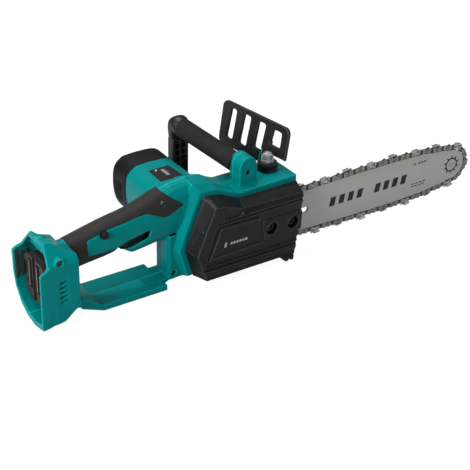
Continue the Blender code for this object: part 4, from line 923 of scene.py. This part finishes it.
def guide_bar():
    slot = [(118.0 + 4.25 * math.cos(math.radians(-90 + 7.5 * k)), 4.25 * math.sin(math.radians(-90 + 7.5 * k))) for k in range(25)]
    slot += [(38.0 + 4.25 * math.cos(math.radians(90 + 7.5 * k)), 4.25 * math.sin(math.radians(90 + 7.5 * k))) for k in range(25)]
    layers = []
    for out_y, in_y in ((-1.85, -0.65), (1.85, 0.65), (0.72, -0.72)):
        s = 1 if in_y > out_y else -1
        if abs(out_y) > 1:
            p = loft("t", [(in_y, bar_outline()), (out_y + s * 0.25, bar_outline()), (out_y, bar_outline(0.45))], "y", BAR, 25)
        else:
            p = prism("t", bar_outline(6.5, 21.0), "y", -0.72, 0.72, BAR)
            cut(p, cyl("t", NOSE, "y", 21.4, -3, 3, BAR, 96))
        cut(p, prism("t", slot, "y", -5, 5, BAR), cyl("t", (40, -16), "y", 3.4, -5, 5, BAR), cyl("t", (40, 16), "y", 3.4, -5, 5, BAR))
        if abs(out_y) > 1:
            cut(p, cyl("t", NOSE, "y", 3.2, -5, 5, BAR))
        layers.append(p)
    o = fuse(layers[0], *layers[1:])
    o.name = "bar_plate"
    o.data.shade_smooth()
    o.data.set_sharp_from_angle(angle=math.radians(20))
    finish_piece(o, ROOT, ("guide_bar",), weighted=False)

    # generic print: a row of slanted blocks, nose symbol, two short rows
    for side, y in ((-1, -1.85), (1, 1.85)):
        quads = []
        for k in range(9):
            x0 = 156.0 + 15.0 * k
            if k in (4,):
                continue
            quads.append([(x0, -6.5), (x0 + 8.8, -6.5), (x0 + 11.6, 6.5), (x0 + 2.8, 6.5)])
        for k in range(4):
            quads.append([(296 + 7 * k, -12.4), (301 + 7 * k, -12.4), (301.6 + 7 * k, -10.9), (296.6 + 7 * k, -10.9)])
            quads.append([(297 + 6 * k, -16.2), (301 + 6 * k, -16.2), (301.6 + 6 * k, -14.7), (297.6 + 6 * k, -14.7)])
        for k in range(3):
            quads.append([(306 + 5 * k, 17.0), (309.4 + 5 * k, 17.0), (310.2 + 5 * k, 19.6), (306.8 + 5 * k, 19.6)])
        quads += ring_quads((300, 18.3), 1.2, 2.1, 24)
        c = (NOSE[0] - 3.5, 0.0)
        quads += ring_quads(NOSE, 8.4, 10.4, 64)
        for k in range(10):
            a = 2 * math.pi * (k + 0.5) / 10
            ca, sa = math.cos(a), math.sin(a)
            tick = [(10.2, -1.35), (13.9, -0.5), (13.9, 0.5), (10.2, 1.35)]
            quads.append([(NOSE[0] + r * ca - w * sa, NOSE[1] + r * sa + w * ca) for r, w in tick])
        flat_marks("bar_print_right" if side < 0 else "bar_print_left", quads, y, 0.05, PRINT, side)
    # rivet heads round the nose
    hub = turned("nose_rivet", NOSE, "y", [(0, -2.1), (1.9, -2.1), (2.6, -1.95), (2.8, -1.7), (2.8, 1.7), (2.6, 1.95), (1.9, 2.1), (0, 2.1)], STEEL, 40)
    disc = turned("t", NOSE, "y", [(0, -0.6), (6.0, -0.6), (6.0, 0.6), (0, 0.6)], STEEL, 48)
    combine(hub, disc, "UNION")
    finish_piece(hub, ROOT, ("nose_hub",), weighted=False, smooth=35)
    small = bmesh.new()
    o2 = None
    for k in range(4):
        a = math.pi / 4 + math.pi / 2 * k
        r = turned("t", (NOSE[0] + 5.7 * math.cos(a), 5.7 * math.sin(a)), "y", [(0, -2.02), (0.9, -2.0), (1.25, -1.84), (1.25, 1.84), (0.9, 2.0), (0, 2.02)], STEEL, 20)
        o2 = r if o2 is None else fuse(o2, r)
    o2.name = "nose_rivets_small"
    finish_piece(o2, ROOT, (), weighted=False, smooth=35)
    small.free()


# ----------------------------------------------------------------------- chain


def chain_path():
    drive_r = 9.525 / math.sin(math.pi / 6)
    raw = [(drive_r * math.cos(math.radians(262) - math.radians(164) * k / 120), drive_r * math.sin(math.radians(262) - math.radians(164) * k / 120)) for k in range(121)]
    raw += [(40 + (NOSE[0] - 40) * k / 80, bar_half_height(40 + (NOSE[0] - 40) * k / 80) + 4.2) for k in range(81)]
    raw += [(NOSE[0] + 26.2 * math.cos(math.pi / 2 - math.pi * k / 60), 26.2 * math.sin(math.pi / 2 - math.pi * k / 60)) for k in range(1, 60)]
    raw += [(NOSE[0] - (NOSE[0] - 40) * k / 80, -bar_half_height(NOSE[0] - (NOSE[0] - 40) * k / 80) - 4.2) for k in range(81)]
    p = np.array(raw + raw[:1])
    s = np.concatenate([[0], np.cumsum(np.hypot(*np.diff(p, axis=0).T))])
    w = s[-1] * np.arange(92) / 92
    return [Vector((float(np.interp(x, s, p[:, 0])), float(np.interp(x, s, p[:, 1])))) for x in w]


def plate_between(bm, a, b, outline, lo, hi, chamfer=0.25):
    """Flat link plate whose own frame runs from rivet a to rivet b; outline in (along, outward)."""
    d = (b - a).normalized()
    n = Vector((-d.y, d.x))
    mid = (a + b) / 2
    small = inset(outline, chamfer)
    rings = []
    for y, pts in ((lo, small), (lo + chamfer, outline), (hi - chamfer, outline), (hi, small)):
        rings.append([bm.verts.new((mid.x + d.x * u + n.x * v, y, mid.y + d.y * u + n.y * v)) for u, v in pts])
    m = len(outline)
    for r0, r1 in zip(rings, rings[1:]):
        for i in range(m):
            j = (i + 1) % m
            bm.faces.new((r0[i], r0[j], r1[j], r1[i]))
    bm.faces.new(rings[0])
    bm.faces.new(rings[-1])


def chain():
    pts = chain_path()
    n = len(pts)
    pitch = (pts[1] - pts[0]).length
    h = pitch / 2
    strap = [(h + 3.0, -0.3), (h + 2.6, 1.8), (h + 1.0, 3.3), (h - 1.4, 3.4), (0, 2.3), (-h + 1.4, 3.4), (-h - 1.0, 3.3), (-h - 2.6, 1.8), (-h - 3.0, -0.3), (-h - 2.6, -2.4), (-h - 1.0, -3.5),
             (-h + 1.4, -3.3), (0, -2.5), (h - 1.4, -3.3), (h + 1.0, -3.5), (h + 2.6, -2.4)]
    bumper = [(h + 2.6, -0.5), (h + 2.4, 1.6), (h + 1.6, 3.6), (h - 0.4, 5.0), (h - 2.2, 4.6), (0.6, 2.8), (-h + 1.6, 2.9), (-h - 0.8, 2.6), (-h - 2.2, 1.4), (-h - 2.6, -0.5), (-h - 2.2, -2.2),
              (-h - 0.6, -3.0), (-h + 1.6, -2.6), (0, -1.9), (h - 1.6, -2.6), (h + 0.6, -3.0), (h + 2.2, -2.2)]
    body = [(h + 2.6, -0.5), (h + 2.6, 2.6), (h + 2.1, 5.0), (h - 0.2, 5.9), (h - 1.5, 3.2), (h - 3.0, 2.9), (h - 3.2, 6.0), (-h - 2.4, 5.2), (-h - 2.6, -0.5), (-h - 2.2, -2.2), (-h - 0.6, -3.0),
            (-h + 1.6, -2.6), (0, -1.9), (h - 1.6, -2.6), (h + 0.6, -3.0), (h + 2.2, -2.2)]
    links, straps, cutters, rivets = bmesh.new(), bmesh.new(), bmesh.new(), bmesh.new()
    for i in range(n):
        a, b = pts[i], pts[(i + 1) % n]
        mid = (a + b) / 2
        d = (b - a).normalized()
        nn = Vector((-d.y, d.x))
        near_drive = math.hypot(mid.x, mid.y) < 34
        near_nose = mid.x > NOSE[0] - 30
        if i % 2 == 0:
            # drive link: centre plate with its tang in the groove
            depth = -1.9 if near_drive else (-5.4 if near_nose else (-8.0 if mid.x > 60 else -7.0))
            if near_drive:
                out = [(h + 2.2, 0.4), (h + 1.2, 2.2), (0, 3.0), (-h - 1.2, 2.2), (-h - 2.2, 0.4), (-h - 1.6, -1.6), (0, -1.9), (h + 1.6, -1.6)]
            else:
                out = [(h + 2.3, 0.3), (h + 1.3, 2.4), (1.5, 3.2), (-1.5, 3.2), (-h - 1.3, 2.4), (-h - 2.3, 0.3), (-h - 1.9, -2.4), (-h + 1.2, -3.4), (-1.4, depth), (1.0, depth), (h - 1.0, -3.4), (h + 1.9, -2.4)]
            plate_between(links, a, b, out, -0.55, 0.55, 0.12)
        else:
            k = (i // 2) % 4
            if k in (0, 2):
                left = k == 0
                for sgn in (-1, 1):
                    lo, hi = (0.75, 1.95) if sgn > 0 else (-1.95, -0.75)
                    if (sgn > 0) == left:
                        plate_between(cutters, a, b, body, lo, hi, 0.15)
                        # top plate of the cutter, leaning outwards
                        q = [(h - 2.8, 5.0), (h - 3.0, 6.7), (-h - 2.8, 5.8), (-h - 2.6, 4.2)]
                        lo2, hi2 = (-0.6, 3.4) if sgn > 0 else (-3.4, 0.6)
                        plate_between(cutters, a, b, q, lo2, hi2, 0.12)
                    else:
                        plate_between(straps, a, b, strap, lo, hi, 0.15)
            else:
                for sgn in (-1, 1):
                    lo, hi = (0.75, 1.95) if sgn > 0 else (-1.95, -0.75)
                    plate_between(straps, a, b, bumper if sgn > 0 and not near_drive else strap, lo, hi, 0.15)
        # rivet with domed heads
        prof = [(0, -2.75), (1.1, -2.7), (1.75, -2.35), (1.85, -1.9), (1.85, 1.9), (1.75, 2.35), (1.1, 2.7), (0, 2.75)]
        m = 14
        rings = []
        for r, y in prof:
            if r == 0:
                rings.append([rivets.verts.new((a.x, y, a.y))])
            else:
                rings.append([rivets.verts.new((a.x + r * math.cos(2 * math.pi * k2 / m), y, a.y + r * math.sin(2 * math.pi * k2 / m))) for k2 in range(m)])
        for r0, r1 in zip(rings, rings[1:]):
            for q in range(m):
                j = (q + 1) % m
                if len(r0) == 1:
                    rivets.faces.new((r0[0], r1[j], r1[q]))
                elif len(r1) == 1:
                    rivets.faces.new((r0[q], r0[j], r1[0]))
                else:
                    rivets.faces.new((r0[q], r0[j], r1[j], r1[q]))
    objs = [from_bmesh("chain_drive_links", links, LINK, 25), from_bmesh("chain_tie_straps", straps, STRAP, 25),
            from_bmesh("chain_cutters", cutters, CUTTER, 25), from_bmesh("chain_rivets", rivets, RIVET, 35)]
    for k, o in enumerate(objs):
        finish_piece(o, ROOT, ("chain_loop",) if k == 1 else (), weighted=False)


# -------------------------------------------------------------- small hardware


def hex_nut(name, node, sx):
    o = turned(name, (sx, 0), "y", [(0, -14.6), (5.2, -14.6), (6.4, -14.3), (7.3, -13.5), (7.7, -12.6), (7.8, -11.6), (7.8, -9.4), (7.5, -9.3), (0, -9.3)], OXIDE, 64)
    cut(o, cyl("t", (sx, 0), "y", 4.06, -13.0, -5.0, OXIDE), prism("t", circle(sx, 0, 3.9, 6), "y", -16.0, -12.0, OXIDE),
        turned("t", (sx, 0), "y", [(0, -15.2), (4.7, -15.2), (3.4, -14.0), (0, -14.0)], OXIDE, 48))
    finish_piece(o, ROOT, (node,), weighted=False, smooth=30)


def cross_screw(name, node, c, head, tip, r=3.1):
    s = 1 if tip > head else -1
    o = turned(name, c, "y", [(0, head), (r * 0.55, head + s * 0.05), (r * 0.85, head + s * 0.45), (r, head + s * 1.2), (r, head + s * 2.7), (1.5, head + s * 2.7), (1.5, tip), (0, tip)], OXIDE, 40)
    for a in (0, math.pi / 2):
        ca, sa = math.cos(a + 0.5), math.sin(a + 0.5)
        w, l = 0.38, 1.9
        q = [(c[0] + l * ca - w * sa, c[1] + l * sa + w * ca), (c[0] - l * ca - w * sa, c[1] - l * sa + w * ca), (c[0] - l * ca + w * sa, c[1] - l * sa - w * ca), (c[0] + l * ca + w * sa, c[1] + l * sa - w * ca)]
        ys = sorted((head - s * 2, head + s * 1.4))
        cut(o, prism("t", q, "y", ys[0], ys[1], OXIDE))
    finish_piece(o, ROOT, (node,), weighted=False, smooth=35)


def hardware():
    hex_nut("nut_rear", "cover_nut_1", STUD_X[0])
    hex_nut("nut_front", "cover_nut_2", STUD_X[1])
    ends = (58.0, 42.0, 36.0)
    for i, ((x, z, face), end) in enumerate(zip(HOUSING_SCREWS, ends), 1):
        cross_screw(f"shell_screw_{i}", f"housing_screw_{i}", (x, z), face + 1.6, end)
    cross_screw("boss_screw", "handle_boss_screw", SCREW_H, 16.8, 40.5, 2.9)
    for i, (x, z) in enumerate(CAP_SCREWS, 1):
        cross_screw(f"cap_screw_{i}", f"motor_cap_screw_{i}", (x, z), 121.4, 46.0)


def controls():
    t = node_copy("trigger", "trigger_blade", BLACK)
    soften(t, 0.45, 4, 0.5)
    finish_piece(t, "trigger", ("trigger",), weighted=False, smooth=40)
    b = node_copy("lock_off_button", "lock_button", BLACK)
    soften(b, 0.3, 2, 0.5)
    finish_piece(b, "lock_off_button", ("lock_off_button",), weighted=False, smooth=40)


def terminal():
    """Battery terminal block: stepped body, windows round the contact blades, guide rails on the left wall."""
    o = node_copy("terminal_block", "terminal_body", TERMINAL)
    front = prism("t", [(9, -31), (3.0, 20.5), (10, 26.0), (47, 26.0), (56, 19), (53, -22), (40, -34)], "x", -252.6, -243.0, TERMINAL)
    for y0 in (14.4, 34.4):
        combine(front, box("t", (-260, y0, -18), (-246.0, y0 + 8.8, 22.5), TERMINAL), "DIFFERENCE")
    combine(front, box("t", (-260, 25.2, -34), (-249.5, 32.4, 30), TERMINAL), "DIFFERENCE")
    combine(front, box("t", (-260, 45.4, -12), (-250.0, 58.0, 14), TERMINAL), "DIFFERENCE")
    fuse(o, front)
    soften(o, 0.5, 2, 0.4)
    finish_piece(o, ROOT, ("terminal_block",), weighted=False, smooth=35)
    rails = None
    for x0, x1, z0, z1 in ((-259.6, -256.6, -20.0, 23.0), (-253.0, -248.5, -27.0, 20.0), (-245.5, -242.5, -25.0, 21.0)):
        r = prism("t", soft_corners([(66.2, z0), (68.0, z1), (64.6, z1 - 0.6), (62.6, z0 + 0.6)], 0.6, 3), "x", x0, x1, TERMINAL)
        rails = r if rails is None else fuse(rails, r)
    rails.name = "battery_rails"
    finish_piece(rails, ROOT, (), weighted=False, smooth=30)


for side in (-1, 1):
    housing(side)
    overmould(side)
chain_cover()
motor()
front_handle()
hand_guard()
filler()
guide_bar()
chain()
hardware()
controls()
terminal()

# ---------------------------------------------------------------------- studio
scene = bpy.context.scene
scene.view_settings.view_transform = "Standard"
FLOOR_Z = -56.2 * MM
bpy.ops.mesh.primitive_plane_add(size=12.0, location=(0, 0, FLOOR_Z))
floor = bpy.context.object
floor.name = "floor"
fm = bpy.data.materials.new("floor_white")
fm.use_nodes = True
nt = fm.node_tree
pb = nt.nodes["Principled BSDF"]
pb.inputs["Base Color"].default_value = (0.60, 0.60, 0.60, 1)
pb.inputs["Roughness"].default_value = 0.9
pb.inputs["Specular IOR Level"].default_value = 0.1
em = nt.nodes.new("ShaderNodeEmission")
em.inputs[0].default_value = (1, 1, 1, 1)
em.inputs[1].default_value = 1.16
lp = nt.nodes.new("ShaderNodeLightPath")
mixf = nt.nodes.new("ShaderNodeMath")
mixf.operation = "MULTIPLY"
mixf.inputs[1].default_value = 0.82
mx = nt.nodes.new("ShaderNodeMixShader")
nt.links.new(lp.outputs["Is Camera Ray"], mixf.inputs[0])
nt.links.new(mixf.outputs[0], mx.inputs[0])
nt.links.new(pb.outputs[0], mx.inputs[1])
nt.links.new(em.outputs[0], mx.inputs[2])
nt.links.new(mx.outputs[0], nt.nodes["Material Output"].inputs[0])
floor.data.materials.append(fm)

world = scene.world or bpy.data.worlds.new("studio")
scene.world = world
world.use_nodes = True
nt = world.node_tree
bg = nt.nodes.get("Background") or nt.nodes.new("ShaderNodeBackground")
bg.inputs[0].default_value = (1.0, 1.0, 1.0, 1)
bg.inputs[1].default_value = 1.0
soft = nt.nodes.new("ShaderNodeBackground")
tc = nt.nodes.new("ShaderNodeTexCoord")
sep = nt.nodes.new("ShaderNodeSeparateXYZ")
grad = nt.nodes.new("ShaderNodeMapRange")
grad.inputs["From Min"].default_value = -0.1
grad.inputs["From Max"].default_value = 0.9
grad.inputs["To Min"].default_value = 0.05
grad.inputs["To Max"].default_value = 0.44
nt.links.new(tc.outputs["Generated"], sep.inputs[0])
nt.links.new(sep.outputs[2], grad.inputs["Value"])
nt.links.new(grad.outputs["Result"], soft.inputs[1])
lp = nt.nodes.new("ShaderNodeLightPath")
mx = nt.nodes.new("ShaderNodeMixShader")
nt.links.new(lp.outputs["Is Camera Ray"], mx.inputs[0])
nt.links.new(soft.outputs[0], mx.inputs[1])
nt.links.new(bg.outputs[0], mx.inputs[2])
wo = nt.nodes.get("World Output") or nt.nodes.new("ShaderNodeOutputWorld")
nt.links.new(mx.outputs[0], wo.inputs[0])


def area(name, loc, target, size, power):
    ld = bpy.data.lights.new(name, "AREA")
    ld.shape = "RECTANGLE"
    ld.size, ld.size_y = size
    ld.energy = power
    lo = bpy.data.objects.new(name, ld)
    scene.collection.objects.link(lo)
    lo.location = loc
    lo.rotation_euler = (Vector(target) - Vector(loc)).to_track_quat("-Z", "Y").to_euler()
    return lo


area("softbox_top", (-0.10, 0.55, 1.55), (0.05, 0.0, 0.0), (1.2, 0.9), 19)
area("softbox_left", (-1.75, -0.35, 0.80), (0.0, 0.0, 0.0), (0.8, 0.8), 34)
area("softbox_front", (1.5, -1.3, 0.9), (0.30, 0.0, 0.0), (0.8, 0.6), 8)

# camera at the three-quarter view
az, el, roll = math.radians(-33.993), math.radians(29.932), math.radians(1.275)
back = Vector((math.sin(az) * math.cos(el), -math.cos(az) * math.cos(el), math.sin(el)))
rgt = (-back).cross(Vector((0, 0, 1))).normalized()
upv = rgt.cross(-back).normalized()
r2 = math.cos(roll) * rgt + math.sin(roll) * upv
u2 = -math.sin(roll) * rgt + math.cos(roll) * upv
cam_data = bpy.data.cameras.new("camera")
cam_data.lens = 99.626
cam_data.sensor_width = 36.0
cam_data.clip_start = 0.01
cam = bpy.data.objects.new("camera", cam_data)
scene.collection.objects.link(cam)
rot = Matrix((r2, u2, back)).transposed().to_4x4()
cam.matrix_world = Matrix.Translation(Vector((-0.78145, -1.17381, 0.80916))) @ rot
scene.camera = cam
